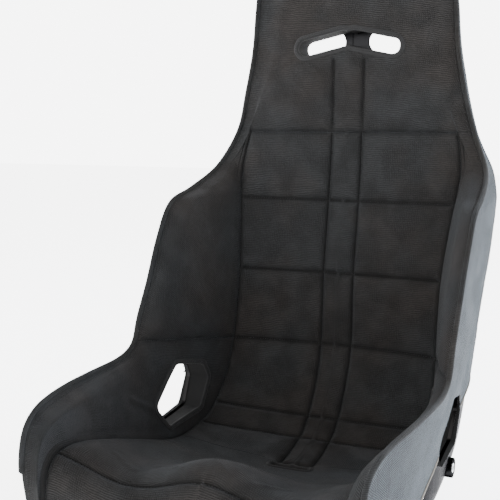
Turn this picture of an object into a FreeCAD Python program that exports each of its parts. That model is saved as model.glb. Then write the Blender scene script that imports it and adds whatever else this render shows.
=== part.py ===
import FreeCAD, Part
import Sketcher
import math
import os

# Fixed-back racing seat: a moulded bucket shell lined with foam blocks and covered
# with tweed panels. Millimetres, +Z up, the seat faces -Y, the driver's left is +X.
# The origin is the centre of the four-bolt base pattern, on the mounting plane.

SIZES = {
    "overall_width": 486.0,      # across the rim at the hips
    "overall_depth": 620.0,      # front roll to the back of the shell
    "overall_height": 850.0,     # mounting plane to the crown
    "shell_thickness": 5.0,      # moulded laminate
    "rim_depth": 16.0,           # how far the shell edge stops short of the rim
    "cover_thickness": 4.0,      # tweed bonded to a thin scrim foam
    "skirt_thickness": 2.4,      # single tweed layer over the outside of the shell
    "skirt_gap": 1.8,            # air between the shell and that layer
    "welt_gap": 0.6,             # air round the welt cord where the skirt passes it
    "layer_gap": 1.8,            # air left between the foam and the shell
    "foam_gap": 3.4,             # air left between the cover and the foam
    "panel_gap": 2.0,            # air left at a seam between two neighbours
    "strip_width": 50.0,         # centre strip between its two long seams
    "piping_radius": 3.5,        # welt cord with its cover
    "piping_lift": 4.5,          # welt centre above the rim line
    "slot_drop": 138.0,          # shoulder harness slots, centre below the crown
    "slot_length": 88.0,         # one shell slot, end to end
    "slot_width": 36.0,          # one shell slot, across
    "slot_slant": 12.0,          # outer ends hang lower by this many degrees
    "post_width": 38.0,          # shell left standing between the two slots
    "post_groove": 16.0,         # channel pressed into the face of the post
    "post_groove_depth": 2.0,    # depth of that channel
    "harness_length": 164.0,     # opening in the head pad, end to end
    "harness_width": 28.0,       # the same opening, across
    "binding_width": 8.0,        # folded tape round an opening
    "binding_lift": 1.5,         # how proud the tape stands
    "lap_centre_depth": 72.0,    # lap belt opening centre, back from the bolts
    "lap_centre_height": 160.0,  # the same centre above the mounting plane
    "lap_length": 140.0,         # lap belt opening, along the seat
    "lap_width": 92.0,           # lap belt opening, up the side
    "lap_corner": 12.0,          # radius of its corners
    "crotch_depth": 40.0,        # crotch strap slot, back from the bolts
    "crotch_length": 64.0,       # crotch strap slot, across the seat
    "crotch_width": 18.0,        # crotch strap slot, along the seat
    "runner_spacing": 280.0,     # between the two moulded feet
    "runner_width": 46.0,        # one moulded foot
    "runner_reach": 185.0,       # each foot runs this far each way
    "bolt_spacing": 290.0,       # between front and back mounting bolts
    "insert_radius": 7.0,        # threaded bush, outside
    "insert_length": 22.0,       # threaded bush, along its bore
    "thread_radius": 4.0,        # M8 bore
    "side_bolt_rise": 32.0,      # side mounting bolts above the lowest inner shell face
    "side_boss_radius": 15.0,    # moulded boss round a side bush, inside the wall
    "side_face_inset": 23.0,     # planes the side brackets bolt to, in from the rim
    "rim_lip": 16.0,             # the trim turns outward to the rim over this width
    "fit_gap": 0.1,              # bush in its pocket
}

# Proportions are written for a seat of this size and scale with the overall sizes.
REFERENCE_WIDTH = 486.0
REFERENCE_DEPTH = 620.0
REFERENCE_HEIGHT = 850.0

# Cross-sections from the crown down the back and along the pan to the front roll.
# cover: face of the trim on the centre line (y, z); seam: where the centre field meets
# the bolster (x, y, z); rim: the welt line (x, y, z); dip: hollow beside the centre;
# shell: inner face on the centre line (y, z); corner: where it turns up the side.
STATIONS = (
    ("crown", (286, 848), (95, 287, 848), (132, 294, 848), 0, (303, 848), (118, 303, 847)),
    ("brow", (276, 826), (110, 279, 824), (158, 295, 820), 0, (315, 830), (148, 315, 826)),
    ("head", (273, 770), (118, 277, 770), (166, 295, 770), 0, (318, 770), (158, 318, 770)),
    ("slots", (273, 700), (128, 278, 700), (172, 294, 700), 0, (318, 700), (165, 318, 700)),
    ("nape", (271, 630), (152, 279, 630), (185, 292, 630), 0, (317, 630), (178, 317, 630)),
    ("row_one", (269, 566), (180, 279, 566), (201, 294, 568), 0, (316, 566), (194, 316, 567)),
    ("shoulder", (265, 512), (188, 270, 512), (228, 266, 508), 0, (316, 512), (221, 316, 510)),
    ("wing_top", (261, 480), (186, 263, 480), (239, 188, 474), 0, (315, 480), (231, 315, 478)),
    ("row_two", (258, 455), (183, 258, 455), (243, 124, 454), 0, (314, 455), (234, 314, 455)),
    ("wing", (249, 400), (177, 243, 400), (243, 84, 402), 0, (308, 400), (231, 308, 400)),
    ("row_three", (239, 338), (172, 230, 338), (242, 50, 338), 0, (299, 338), (225, 299, 338)),
    ("lumbar", (236, 278), (172, 220, 278), (242, 20, 286), 0, (287, 278), (219, 287, 278)),
    ("row_four", (231, 220), (174, 208, 220), (242, 6, 252), 0, (274, 218), (215, 274, 218)),
    ("sacrum", (209, 162), (178, 186, 164), (242, -14, 238), 0, (258, 150), (211, 258, 150)),
    ("row_five", (174, 114), (182, 150, 124), (242, -38, 232), 0, (224, 86), (208, 224, 86)),
    ("row_six", (138, 90), (188, 108, 102), (241, -66, 230), 0, (170, 52), (207, 170, 52)),
    ("crotch", (50, 74), (195, 40, 97), (240, -102, 229), 0, (60, 42), (214, 60, 42)),
    ("pan", (-50, 96), (200, -45, 122), (238, -140, 228), 4, (-50, 52), (220, -50, 50)),
    ("slope", (-130, 138), (203, -130, 148), (235, -180, 227), 16, (-128, 84), (222, -130, 62)),
    ("crest", (-196, 166), (205, -206, 168), (230, -226, 224), 26, (-190, 112), (221, -190, 82)),
    ("roll", (-232, 156), (205, -256, 172), (226, -262, 216), 24, (-218, 112), (218, -228, 92)),
    ("front", (-252, 126), (204, -284, 150), (223, -288, 196), 14, (-232, 92), (214, -256, 84)),
    ("lip", (-256, 86), (202, -292, 106), (222, -298, 154), 4, (-236, 62), (212, -266, 62)),
    ("hem", (-252, 46), (200, -288, 58), (221, -292, 106), 0, (-232, 42), (210, -262, 42)),
)
NAMES = tuple(row[0] for row in STATIONS)
SEAM = 0.5                       # share of a cross-section that lies inside the seam
LIP = 0.9                        # share at which the trim turns outward to the rim
COVER_ROUND = 0.06               # share of a cross-section rounded at the seam and lip
SHELL_ROUND = 0.11               # share of a cross-section rounded at the shell corner
# Lap belt opening: corners along and up the side, in halves of its length and width.
LAP_OUTLINE = ((-1.05, -0.2), (-0.1, 1.0), (0.82, 0.72), (0.95, 0.2), (0.58, -0.78), (-0.6, -1.0))


doc = FreeCAD.newDocument("racing_seat")
sheet = doc.addObject("Spreadsheet::Sheet", "sizes")
for line, (alias, size) in enumerate(SIZES.items(), start=1):
    sheet.set("A%d" % line, alias)
    sheet.set("B%d" % line, str(size))
    sheet.setAlias("B%d" % line, alias)
doc.recompute()


def size(alias):
    """A named size as the spreadsheet holds it."""
    return float(getattr(sheet, alias))


def station(name):
    """Place of a named cross-section along the seat."""
    return float(NAMES.index(name))


def scaled(triple):
    """A reference point at this seat's overall sizes."""
    across = size("overall_width") / REFERENCE_WIDTH
    along = size("overall_depth") / REFERENCE_DEPTH
    upward = size("overall_height") / REFERENCE_HEIGHT
    return FreeCAD.Vector(triple[0] * across, triple[1] * along, triple[2] * upward)


ROWS = []
for row in STATIONS:
    ROWS.append({
        "cover": scaled((0,) + row[1]),
        "seam": scaled(row[2]),
        "rim": scaled(row[3]),
        "dip": row[4] * size("overall_height") / REFERENCE_HEIGHT,
        "shell": scaled((0,) + row[5]),
        "corner": scaled(row[6]),
    })


def along(key, where):
    """Value of one column between stations, by a curve with even slopes."""
    last = len(ROWS) - 1
    where = min(max(where, 0.0), float(last))
    low = min(int(where), last - 1)
    part = where - low
    before, here = ROWS[max(low - 1, 0)][key], ROWS[low][key]
    there, after = ROWS[low + 1][key], ROWS[min(low + 2, last)][key]
    leave, arrive = (there - before) * 0.5, (after - here) * 0.5
    cube, square = part ** 3, part ** 2
    value = here * (2 * cube - 3 * square + 1) + leave * (cube - 2 * square + part)
    return value + there * (3 * square - 2 * cube) + arrive * (cube - square)


def bent(points, shares, share, rounding):
    """Point along a line of straight runs whose inner corners are rounded off."""
    slopes = []
    for k in range(len(points) - 1):
        slopes.append((points[k + 1] - points[k]) / (shares[k + 1] - shares[k]))
    run = max(k for k in range(len(slopes)) if k == 0 or share >= shares[k])
    point = points[run] + slopes[run] * (share - shares[run])
    if run == 0:
        bow = share / shares[1]
        drop = FreeCAD.Vector(0.0, slopes[0].y, slopes[0].z) * shares[1]
        point = point - drop * (bow - bow ** 2)
    for k in range(1, len(slopes)):
        reach = rounding - abs(share - shares[k])
        if reach > 0.0:
            before = slopes[k - 1]
            if k == 1:
                before = FreeCAD.Vector(before.x, before.y * 2.0, before.z * 2.0)
            point = point + (slopes[k] - before) * (reach ** 2 / (4.0 * rounding))
    return point


def mirrored(point, share):
    """The same point on the side that the sign of the share asks for."""
    return FreeCAD.Vector(math.copysign(point.x, share) if share else 0.0, point.y, point.z)


def lip_point(where):
    """Where the trim turns outward to reach the rim."""
    seam, rim = along("seam", where), along("rim", where)
    inward = seam - rim
    inward.normalize()
    sideways = math.sqrt(1.0 - inward.x ** 2)
    lip = size("rim_lip")
    return rim + inward * lip - FreeCAD.Vector(lip * sideways, 0.0, 0.0)


def cover_point(where, share):
    """Face of the trim; share runs from -1 at one rim to 1 at the other."""
    spread = abs(share)
    points = (along("cover", where), along("seam", where), lip_point(where),
              along("rim", where) - FreeCAD.Vector(3.0, 0.0, 0.0))
    point = bent(points, (0.0, SEAM, LIP, 1.0), spread, COVER_ROUND)
    if spread < SEAM:
        dip = along("dip", where) * math.sin(math.pi * spread / SEAM) ** 2
        point = point - FreeCAD.Vector(0.0, 0.0, dip)
    return mirrored(point, share)


def shell_point(where, share, short=None):
    """Inner face of the shell, which stops short of the rim."""
    corner, rim = along("corner", where), along("rim", where)
    short = size("rim_depth") if short is None else short
    inward = corner - rim
    edge = rim + inward * (short / inward.Length)
    edge = edge - FreeCAD.Vector(size("shell_thickness") + 3.0, 0.0, 0.0)
    spread = abs(share)
    if spread > SEAM:
        side = (spread - SEAM) / (1.0 - SEAM)
        spread = SEAM + (1.0 - SEAM) * side * (1.6 - 0.6 * side)
    points = (along("shell", where), corner, edge)
    return mirrored(bent(points, (0.0, SEAM, 1.0), spread, SHELL_ROUND), share)


def outward_point(where, share, distance, short=None):
    """Point outside the inner shell face by a distance square to that face."""
    step = 0.02
    high, low = min(where + step, len(ROWS) - 1.0), max(where - step, 0.0)
    down = shell_point(high, share, short) - shell_point(low, share, short)
    side = shell_point(where, share + step, short) - shell_point(where, share - step, short)
    normal = side.cross(down)
    normal.normalize()
    return shell_point(where, share, short) + normal * distance


def layer_point(where, share, depth):
    """Point below the trim face by a depth, measured toward the shell."""
    face = cover_point(where, share)
    toward = shell_point(where, share) - face
    return face + toward * (depth / toward.Length)


def backing_point(where, share, gap):
    """Point just clear of the inner shell face, on the trim side."""
    return outward_point(where, share, -gap)


def slot_height():
    """Height of the shoulder harness slots above the mounting plane."""
    return size("overall_height") - size("slot_drop")


def side_face():
    """Distance from the middle of the seat to the plane a side bracket bolts to."""
    return size("overall_width") / 2.0 - size("side_face_inset")


def side_bolt_height():
    """Height of the side mounting bolts above the mounting plane."""
    return shell_point(station("crotch"), 0.0).z + size("side_bolt_rise")


def spread_values(first, last, count):
    """Even values from first to last."""
    return [first + (last - first) * k / (count - 1.0) for k in range(count)]


def curve_data(points):
    """Poles, multiplicities and knots of an even cubic through points."""
    curve = Part.BSplineCurve()
    curve.interpolate(Points=points, Parameters=spread_values(0.0, 1.0, len(points)))
    return curve.getPoles(), curve.getMultiplicities(), curve.getKnots()


def skin_poles(function, wheres, shares):
    """Pole grid of a smooth skin through a function on a grid, with its knots."""
    rows = [curve_data([function(w, v) for v in shares]) for w in wheres]
    columns = [curve_data([row[0][k] for row in rows]) for k in range(len(rows[0][0]))]
    poles = [[column[0][k] for column in columns] for k in range(len(columns[0][0]))]
    return poles, columns[0][1:], rows[0][1:]


def spline_face(poles, first, second):
    """Face from a pole grid; first and second are (multiplicities, knots)."""
    surface = Part.BSplineSurface()
    degrees = [1 if len(grid) == 2 else 3 for grid in (poles, poles[0])]
    surface.buildFromPolesMultsKnots(poles, first[0], second[0], first[1], second[1],
                                     False, False, degrees[0], degrees[1])
    return surface.toShape()


def block(inner, outer, span, reach, fine=4.0):
    """Closed solid between two point functions over a span and a reach."""
    rows = max(4, int(round((span[1] - span[0]) * fine)) + 1)
    columns = max(4, int(round(abs(reach[1] - reach[0]) * 24)) + 1)
    wheres = spread_values(span[0], span[1], rows)
    shares = spread_values(reach[0], reach[1], columns)
    near, down, side = skin_poles(inner, wheres, shares)
    far = skin_poles(outer, wheres, shares)[0]
    straight = ([2, 2], [0.0, 1.0])
    faces = [spline_face(near, down, side), spline_face(far, down, side)]
    for end in (0, -1):
        faces.append(spline_face([near[end], far[end]], straight, side))
        edge = [[line[end] for line in near], [line[end] for line in far]]
        faces.append(spline_face(edge, straight, down))
    hull = Part.makeShell(faces)
    hull.sewShape()
    solid = Part.makeSolid(hull)
    if solid.Volume < 0:
        solid.reverse()
    return solid


def feature(name, shape):
    """A free-form sub-part, for shapes no primitive describes."""
    item = doc.addObject("Part::Feature", name)
    item.Shape = shape
    item.Label = name
    return item


def cut_away(shape, tools):
    """Shape with every tool taken out of it."""
    for tool in tools:
        shape = shape.cut(tool)
    return shape


def only_solid(shape):
    """The one solid of a result that should hold exactly one."""
    return max(shape.Solids, key=lambda solid: solid.Volume)


def slot_cutter(name, length, width, depth, place):
    """Round-ended cutter: a box with a cylinder at each end, sized by expressions."""
    box = doc.addObject("Part::Box", name + "_web")
    box.setExpression("Length", "(%s) - (%s)" % (length, width))
    box.setExpression("Width", width)
    box.setExpression("Height", depth)
    box.setExpression("Placement.Base.x", "-((%s) - (%s)) / 2" % (length, width))
    box.setExpression("Placement.Base.y", "-(%s) / 2" % width)
    box.setExpression("Placement.Base.z", "-(%s) / 2" % depth)
    parts = [box]
    for side in (-1, 1):
        end = doc.addObject("Part::Cylinder", "%s_end_%d" % (name, side + 2))
        end.setExpression("Radius", "(%s) / 2" % width)
        end.setExpression("Height", depth)
        end.setExpression("Placement.Base.x", "%d * ((%s) - (%s)) / 2" % (side, length, width))
        end.setExpression("Placement.Base.z", "-(%s) / 2" % depth)
        parts.append(end)
    whole = doc.addObject("Part::MultiFuse", name)
    whole.Shapes = parts
    whole.Placement = place
    doc.recompute()
    return whole.Shape


def turned(*turns):
    """Rotation made of (axis, degrees) turns, the last one first."""
    result = FreeCAD.Rotation()
    for axis, degrees in turns:
        result = result.multiply(FreeCAD.Rotation(FreeCAD.Vector(*axis), degrees))
    return result


def across_back(x, z, y, slant):
    """Placement of a slot seen from the front, its depth along Y."""
    turn = turned(((0, 1, 0), slant), ((1, 0, 0), 90))
    return FreeCAD.Placement(FreeCAD.Vector(x, y, z), turn)


def lap_cutter(side, extra):
    """Lap belt opening through one side, larger all round by an extra."""
    long, tall = size("lap_length") / 2.0, size("lap_width") / 2.0
    middle = FreeCAD.Vector(side * 160.0, size("lap_centre_depth"), size("lap_centre_height"))
    corners = [middle + FreeCAD.Vector(0, y * long, z * tall) for y, z in LAP_OUTLINE]
    outline = Part.Face(Part.makePolygon(corners + corners[:1]))
    prism = outline.extrude(FreeCAD.Vector(side * 120.0, 0, 0))
    upright = [e for e in prism.Edges if abs(e.BoundBox.XLength - 120.0) < 0.1]
    prism = prism.makeFillet(size("lap_corner"), upright)
    if extra == 0:
        return prism
    end = min(prism.Faces, key=lambda face: abs(face.CenterOfMass.x))
    return end.makeOffset2D(float(extra)).extrude(FreeCAD.Vector(side * 120.0, 0, 0))


def harness_cutter(extra):
    """Arched opening in the head pad: one slanted slot on each side."""
    reach = size("harness_length") / 4.0
    drop = math.tan(math.radians(size("slot_slant"))) * reach
    halves = []
    for side in (-1, 1):
        place = across_back(side * reach, slot_height() + 5.0 - drop, 290.0,
                            side * size("slot_slant"))
        name = "harness_cut_%d_%d" % (side + 2, int(extra * 10))
        halves.append(slot_cutter(name, "sizes.harness_length / 2 + 12 + %s" % (2 * extra),
                                  "sizes.harness_width + %s" % (2 * extra), "120", place))
    return halves[0].fuse(halves[1]).removeSplitter()


def shell_slot_cutters():
    """Two slots through the shell, a post left standing between them."""
    reach = size("post_width") / 2.0 + size("slot_length") / 2.0
    drop = math.tan(math.radians(size("slot_slant"))) * (reach - 40.0)
    cutters = []
    for side in (-1, 1):
        place = across_back(side * reach, slot_height() - drop, 320.0,
                            side * size("slot_slant"))
        cutters.append(slot_cutter("shell_slot_%d" % (side + 2), "sizes.slot_length",
                                   "sizes.slot_width", "60", place))
    return cutters


def crotch_cutter(extra):
    """Crotch strap slot, straight down through the pan."""
    place = FreeCAD.Placement(FreeCAD.Vector(0, size("crotch_depth"), 60.0),
                              FreeCAD.Rotation())
    return slot_cutter("crotch_cut_%d" % int(extra * 10),
                       "sizes.crotch_length + %s" % (2 * extra),
                       "sizes.crotch_width + %s" % (2 * extra), "160", place)


def foot_places(side):
    """Centres of the two mounting bolts in one moulded foot."""
    half = size("bolt_spacing") / 2.0
    x = side * size("runner_spacing") / 2.0
    return [FreeCAD.Vector(x, -half, 0), FreeCAD.Vector(x, half, 0)]


def runner(side):
    """Moulded foot under the pan, its top following the shell above it."""
    reach, width = size("runner_reach"), size("runner_width")
    x = side * size("runner_spacing") / 2.0 - width / 2.0
    box = Part.makeBox(width, 2 * reach, 100.0, FreeCAD.Vector(x, -reach, 0))
    soft = [e for e in box.Edges if abs(e.BoundBox.ZLength - 100.0) < 0.1]
    return box.makeFillet(12.0, soft)


def side_boss(side, y, extra=0.0):
    """Moulded boss round a side bush, faced off in the plane of the bracket."""
    start = FreeCAD.Vector(side * side_face(), y, side_bolt_height())
    length = size("insert_length") + 6.0 + extra
    radius = size("side_boss_radius") + extra
    return Part.makeCylinder(radius, length, start, FreeCAD.Vector(-side, 0, 0))


def bush_pocket(base, axis):
    """Blind pocket for a pressed-in bush."""
    radius = size("insert_radius") + size("fit_gap")
    start = base - axis * 1.0
    return Part.makeCylinder(radius, size("insert_length") + 1.5, start, axis)


def side_bolts():
    """Side and place along the seat of each side bolt."""
    half = size("bolt_spacing") / 2.0
    return [(side, y) for side in (1, -1) for y in (-half, half)]


def hollow_core():
    """Everything inside the mid-plane of the shell wall, up to the trim face."""
    def middle(where, share):
        return outward_point(where, share, size("shell_thickness") * 0.5)
    span = (station("sacrum"), len(ROWS) - 1.0)
    return block(cover_point, middle, span, (-0.98, 0.98))


def moulded_wall():
    """Bare moulding, before feet, bosses and openings."""
    def outside(where, share):
        return outward_point(where, share, size("shell_thickness"))
    return block(shell_point, outside, (0.0, len(ROWS) - 1.0), (-1.0, 1.0), 3.0)


def build_shell():
    """Bucket shell: moulding, feet, side bosses, openings, post groove, bush pockets."""
    core = hollow_core()
    shell = moulded_wall()
    for side in (-1, 1):
        shell = shell.fuse(only_solid(runner(side).cut(core)))
    for side, y in side_bolts():
        shell = shell.fuse(side_boss(side, y))
    shell = cut_away(shell, shell_slot_cutters())
    shell = cut_away(shell, [lap_cutter(-1, -2), lap_cutter(1, -2), crotch_cutter(0)])
    groove = Part.makeBox(size("post_groove"), 40.0, 96.0)
    face = shell_point(station("slots"), 0.0).y + size("post_groove_depth")
    groove.translate(FreeCAD.Vector(-size("post_groove") / 2.0, face - 40.0,
                                    slot_height() - 52.0))
    shell = shell.cut(groove)
    for side in (-1, 1):
        for place in foot_places(side):
            shell = shell.cut(bush_pocket(place, FreeCAD.Vector(0, 0, 1)))
    for side, y in side_bolts():
        start = FreeCAD.Vector(side * side_face(), y,
                               side_bolt_height())
        shell = shell.cut(bush_pocket(start, FreeCAD.Vector(-side, 0, 0)))
    return feature("seat_shell", only_solid(shell))


def bush_body(name, places, turn):
    """Threaded bushes as one body: outside, bore and a lead-in, all sized by name."""
    body = doc.addObject("PartDesign::Body", name)
    body.Label = name
    flat = [p for p in body.Origin.OriginFeatures if p.Role == "XY_Plane"][0]
    rings = []
    for kind, radius in (("outside", "sizes.insert_radius"), ("bore", "sizes.thread_radius")):
        sketch = body.newObject("Sketcher::SketchObject", "%s_%s" % (name, kind))
        sketch.AttachmentSupport = [(flat, "")]
        sketch.MapMode = "FlatFace"
        for index, (x, y) in enumerate(places):
            centre = FreeCAD.Vector(x, y, 0)
            sketch.addGeometry(Part.Circle(centre, FreeCAD.Vector(0, 0, 1), 5.0))
            ring = sketch.addConstraint(Sketcher.Constraint("Radius", index, 5.0))
            sketch.setExpression("Constraints[%d]" % ring, radius)
            for word, value in (("DistanceX", x), ("DistanceY", y)):
                sketch.addConstraint(Sketcher.Constraint(word, -1, 1, index, 3, value))
        rings.append(sketch)
    pad = body.newObject("PartDesign::Pad", name + "_pad")
    pad.Profile = rings[0]
    pad.setExpression("Length", "sizes.insert_length")
    bore = body.newObject("PartDesign::Pocket", name + "_bore")
    bore.Profile = rings[1]
    bore.setExpression("Length", "sizes.insert_length - 4")
    bore.Reversed = True
    body.Tip = bore
    body.Placement = turn
    doc.recompute()
    return body


def build_bushes():
    """Four bushes in the feet and one in each side boss."""
    half = size("bolt_spacing") / 2.0
    wide = size("runner_spacing") / 2.0
    feet = [(x, y) for x in (-wide, wide) for y in (-half, half)]
    bush_body("base_bushes", feet, FreeCAD.Placement())
    for side, y in side_bolts():
        name = "side_bush_%s_%s" % ("front" if y < 0 else "rear",
                                    "left" if side > 0 else "right")
        base = FreeCAD.Vector(side * side_face(), y,
                              side_bolt_height())
        turn = turned(((0, 1, 0), -90.0 * side))
        bush_body(name, [(0.0, 0.0)], FreeCAD.Placement(base, turn))


def foam_shape(span, reach):
    """Foam between the back of the cover and the shell."""
    front = size("cover_thickness") + size("foam_gap")

    def face(where, share):
        return layer_point(where, share, front)

    def back(where, share):
        return backing_point(where, share, size("layer_gap"))
    return block(face, back, span, reach, 3.0)


def panel_shape(span, reach):
    """Cover panel of one thickness on the face of the foam."""
    def back(where, share):
        return layer_point(where, share, size("cover_thickness"))
    return block(cover_point, back, span, reach, 3.0)


def skirt_shape(span, reach):
    """Single layer of tweed over the outside of the shell."""
    inner_gap = size("shell_thickness") + size("skirt_gap")

    def inner(where, share):
        return outward_point(where, share, inner_gap, 7.0)

    def outer(where, share):
        return outward_point(where, share, inner_gap + size("skirt_thickness"), 7.0)
    return block(inner, outer, span, reach, 3.0)


# One seam gap, as a share of a cross-section (about 200 mm in each half) and as a
# share of one station (about 60 mm).
SHARE_GAP = SIZES["panel_gap"] / 2.0 / 400.0
STEP_GAP = SIZES["panel_gap"] / 2.0 / 55.0
STRIP = SIZES["strip_width"] / 2.0 / 2.0 / 180.0


# The foam stops here, short of where the trim and the shell close up at the rim.
FOAM_EDGE = 0.955


def spans(first, last):
    """Span between two named stations less half a seam gap at each end."""
    return (station(first) + STEP_GAP, station(last) - STEP_GAP)


def sides():
    """Sign and word of each side of the seat."""
    return ((1, "left"), (-1, "right"))


def clear_of_bosses(shape):
    """Foam relieved round the side bosses."""
    reliefs = [side_boss(side, y, 2.0) for side, y in side_bolts()]
    return only_solid(cut_away(shape, reliefs))


def build_foams():
    """Foam blocks, each clear of its neighbours."""
    wide = SEAM - SHARE_GAP * 3
    head = foam_shape(spans("crown", "row_one"), (-FOAM_EDGE, FOAM_EDGE))
    feature("head_foam", only_solid(head.cut(harness_cutter(3.0))))
    feature("back_foam", foam_shape(spans("row_one", "sacrum"), (-wide, wide)))
    pan = foam_shape(spans("sacrum", "slope"), (-wide, wide))
    feature("pan_foam", clear_of_bosses(pan.cut(crotch_cutter(3.0))))
    front = foam_shape(spans("slope", "hem"), (-wide, wide))
    feature("front_foam", clear_of_bosses(front))
    for side, word in sides():
        reach = (side * (SEAM + SHARE_GAP * 3), side * FOAM_EDGE)
        feature("wing_foam_" + word, foam_shape(spans("row_one", "row_four"), reach))
        hip = foam_shape(spans("row_four", "pan"), reach).cut(lap_cutter(side, 3))
        feature("hip_foam_" + word, clear_of_bosses(hip))
        thigh = foam_shape(spans("pan", "hem"), reach)
        feature("thigh_foam_" + word, clear_of_bosses(thigh))


def build_panels():
    """Sewn cover panels, split where the seams of the cover run."""
    inside = SEAM - SHARE_GAP
    head = panel_shape(spans("crown", "row_one"), (-0.99, 0.99))
    feature("head_panel", only_solid(head.cut(harness_cutter(0.0))))
    strip = panel_shape((station("row_one") + STEP_GAP, station("crotch") - 0.35),
                        (-STRIP + SHARE_GAP, STRIP - SHARE_GAP))
    feature("centre_strip", strip)
    pan = panel_shape((station("crotch") - 0.35 + 2 * STEP_GAP, station("roll") - STEP_GAP),
                      (-inside, inside))
    feature("pan_panel", only_solid(pan.cut(crotch_cutter(0.0))))
    feature("front_panel", panel_shape(spans("roll", "hem"), (-inside, inside)))
    for side, word in sides():
        field = (side * (STRIP + SHARE_GAP), side * inside)
        edge = (side * (SEAM + SHARE_GAP), side * 0.99)
        back = panel_shape((station("row_one") + STEP_GAP, station("crotch") - 0.35), field)
        feature("back_panel_" + word, back)
        feature("wing_panel_" + word, panel_shape(spans("row_one", "row_four"), edge))
        hip = panel_shape(spans("row_four", "hem"), edge)
        feature("hip_panel_" + word, only_solid(hip.cut(lap_cutter(side, 0))))


def build_skirts():
    """Outer cover: one skirt a side and a band behind the crown."""
    for side, word in sides():
        skirt = skirt_shape(spans("shoulder", "lip"), (side * 0.44, side * 1.0))
        trimmed = skirt.cut(skirt_trim(side))
        trimmed = only_solid(trimmed).cut(lap_cutter(side, 0))
        trimmed = only_solid(trimmed).cut(welt_relief(side))
        feature("outer_skirt_" + word, only_solid(trimmed))
        band = skirt_shape(spans("brow", "shoulder"), (side * 0.44, side * 1.0))
        feature("head_skirt_" + word, only_solid(band))


def welt_relief(side):
    """Room for the welt cord where it turns in over the shoulder of a skirt."""
    first, last = station("row_one"), station("row_three")
    points = [point for place, point in zip(welt_places(), rim_path(side))
              if first < place < last]
    return swept(points, size("piping_radius") + size("welt_gap"))


def skirt_trim(side):
    """Everything below the hem of a skirt, which rises toward the back."""
    height = 400.0
    slope = math.degrees(math.atan2(42.0, 170.0))
    box = Part.makeBox(140.0, 900.0, height, FreeCAD.Vector(-70.0, -450.0, -height))
    box.rotate(FreeCAD.Vector(0, 0, 0), FreeCAD.Vector(1, 0, 0), slope)
    box.translate(FreeCAD.Vector(side * 220.0, 0.0, 138.0))
    return box


def welt_places():
    """Places along the seat of the points that the welt is drawn through."""
    return spread_values(0.3, station("lip"), 38)


def rim_path(side):
    """Points of the welt line on one side, lifted off the edge of the trim."""
    points = []
    for where in welt_places():
        rim, corner = along("rim", where), along("corner", where)
        away = rim - corner
        away.normalize()
        away = away + FreeCAD.Vector(0.0, 0.0, 1.2 * max(0.0, 1.0 - where))
        point = rim + away * size("piping_lift")
        points.append(FreeCAD.Vector(side * point.x, point.y, point.z))
    return points


def swept(points, radius):
    """Round cord through points: a ring square to the path at each of them."""
    rings = []
    last = len(points) - 1
    for index, point in enumerate(points):
        heading = points[min(index + 1, last)] - points[max(index - 1, 0)]
        crown = max(0.0, point.z / points[last // 2].z - 0.95)
        outward = FreeCAD.Vector(point.x / 100.0, 0.0, 8.0 * crown)
        turn = FreeCAD.Rotation(outward, FreeCAD.Vector(0, 0, 0), heading, "ZXY")
        ring = Part.Wire(Part.Edge(Part.Circle(FreeCAD.Vector(), FreeCAD.Vector(0, 0, 1), radius)))
        ring.Placement = FreeCAD.Placement(point, turn)
        rings.append(ring)
    return only_solid(Part.makeLoft(rings, True, True))


def build_piping():
    """Welt cord along one rim, over the crown and down the other rim."""
    left, right = rim_path(1), rim_path(-1)
    crown = along("rim", 0.0)
    wide = 0.82 * crown.x
    top = [FreeCAD.Vector(x, crown.y - 5.0, crown.z + size("piping_lift"))
           for x in spread_values(wide, -wide, 7)]
    feature("edge_piping", swept(left[::-1] + top + right, size("piping_radius")))


def build_bindings():
    """Folded tape round each opening, standing a little proud of the trim."""
    wide = size("binding_width")
    proud = size("binding_lift")

    def lift(where, share):
        return layer_point(where, share, -proud - 0.5)

    def seat(where, share):
        return layer_point(where, share, -0.5)
    plate = block(lift, seat, (station("head"), station("nape")), (-0.6, 0.6), 6.0)
    ring = plate.common(harness_cutter(wide)).cut(harness_cutter(0.5))
    feature("harness_binding", only_solid(ring))
    for side, word in sides():
        plate = block(lift, seat, (station("lumbar"), station("slope")),
                      (side * 0.53, side * 0.93), 6.0)
        ring = plate.common(lap_cutter(side, wide)).cut(lap_cutter(side, 1))
        feature("lap_binding_" + word, only_solid(ring))
    plate = block(lift, seat, (station("row_six"), station("pan")), (-0.3, 0.3), 6.0)
    ring = plate.common(crotch_cutter(wide)).cut(crotch_cutter(0.5))
    feature("crotch_binding", only_solid(ring))


def report_states():
    """Stop before any file is written if a piece is missing or broken."""
    bad = [o.Name for o in doc.Objects if "Invalid" in o.State or "Error" in o.State]
    for item in nodes():
        if item.Shape.isNull() or not item.Shape.isValid() or len(item.Shape.Solids) < 1:
            bad.append(item.Label)
    if bad:
        raise RuntimeError("broken pieces: %s" % ", ".join(bad))


def nodes():
    """Sub-parts that are written out."""
    kept = []
    for item in doc.Objects:
        if item.TypeId == "PartDesign::Body" or item.TypeId == "Part::Feature":
            kept.append(item)
    return kept


build_shell()
build_bushes()
build_foams()
build_panels()
build_skirts()
build_piping()
build_bindings()
doc.recompute()
report_states()

os.makedirs("parts", exist_ok=True)
for item in nodes():
    item.Shape.exportStep("parts/%s.step" % item.Label)
    box = item.Shape.BoundBox
    print("%-20s solids %d volume %9.0f  x %6.1f %6.1f  y %6.1f %6.1f  z %6.1f %6.1f" % (
        item.Label, len(item.Shape.Solids), item.Shape.Volume,
        box.XMin, box.XMax, box.YMin, box.YMax, box.ZMin, box.ZMax))
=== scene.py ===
"""Looks of a fixed-back racing seat: quilted tweed over a moulded bucket shell.

Every soft piece is shaped from the same cross-sections as the frame, in the row frame: metres,
+Z up, the seat faces -Y and the driver's left is +X.
"""

from __future__ import annotations

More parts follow.
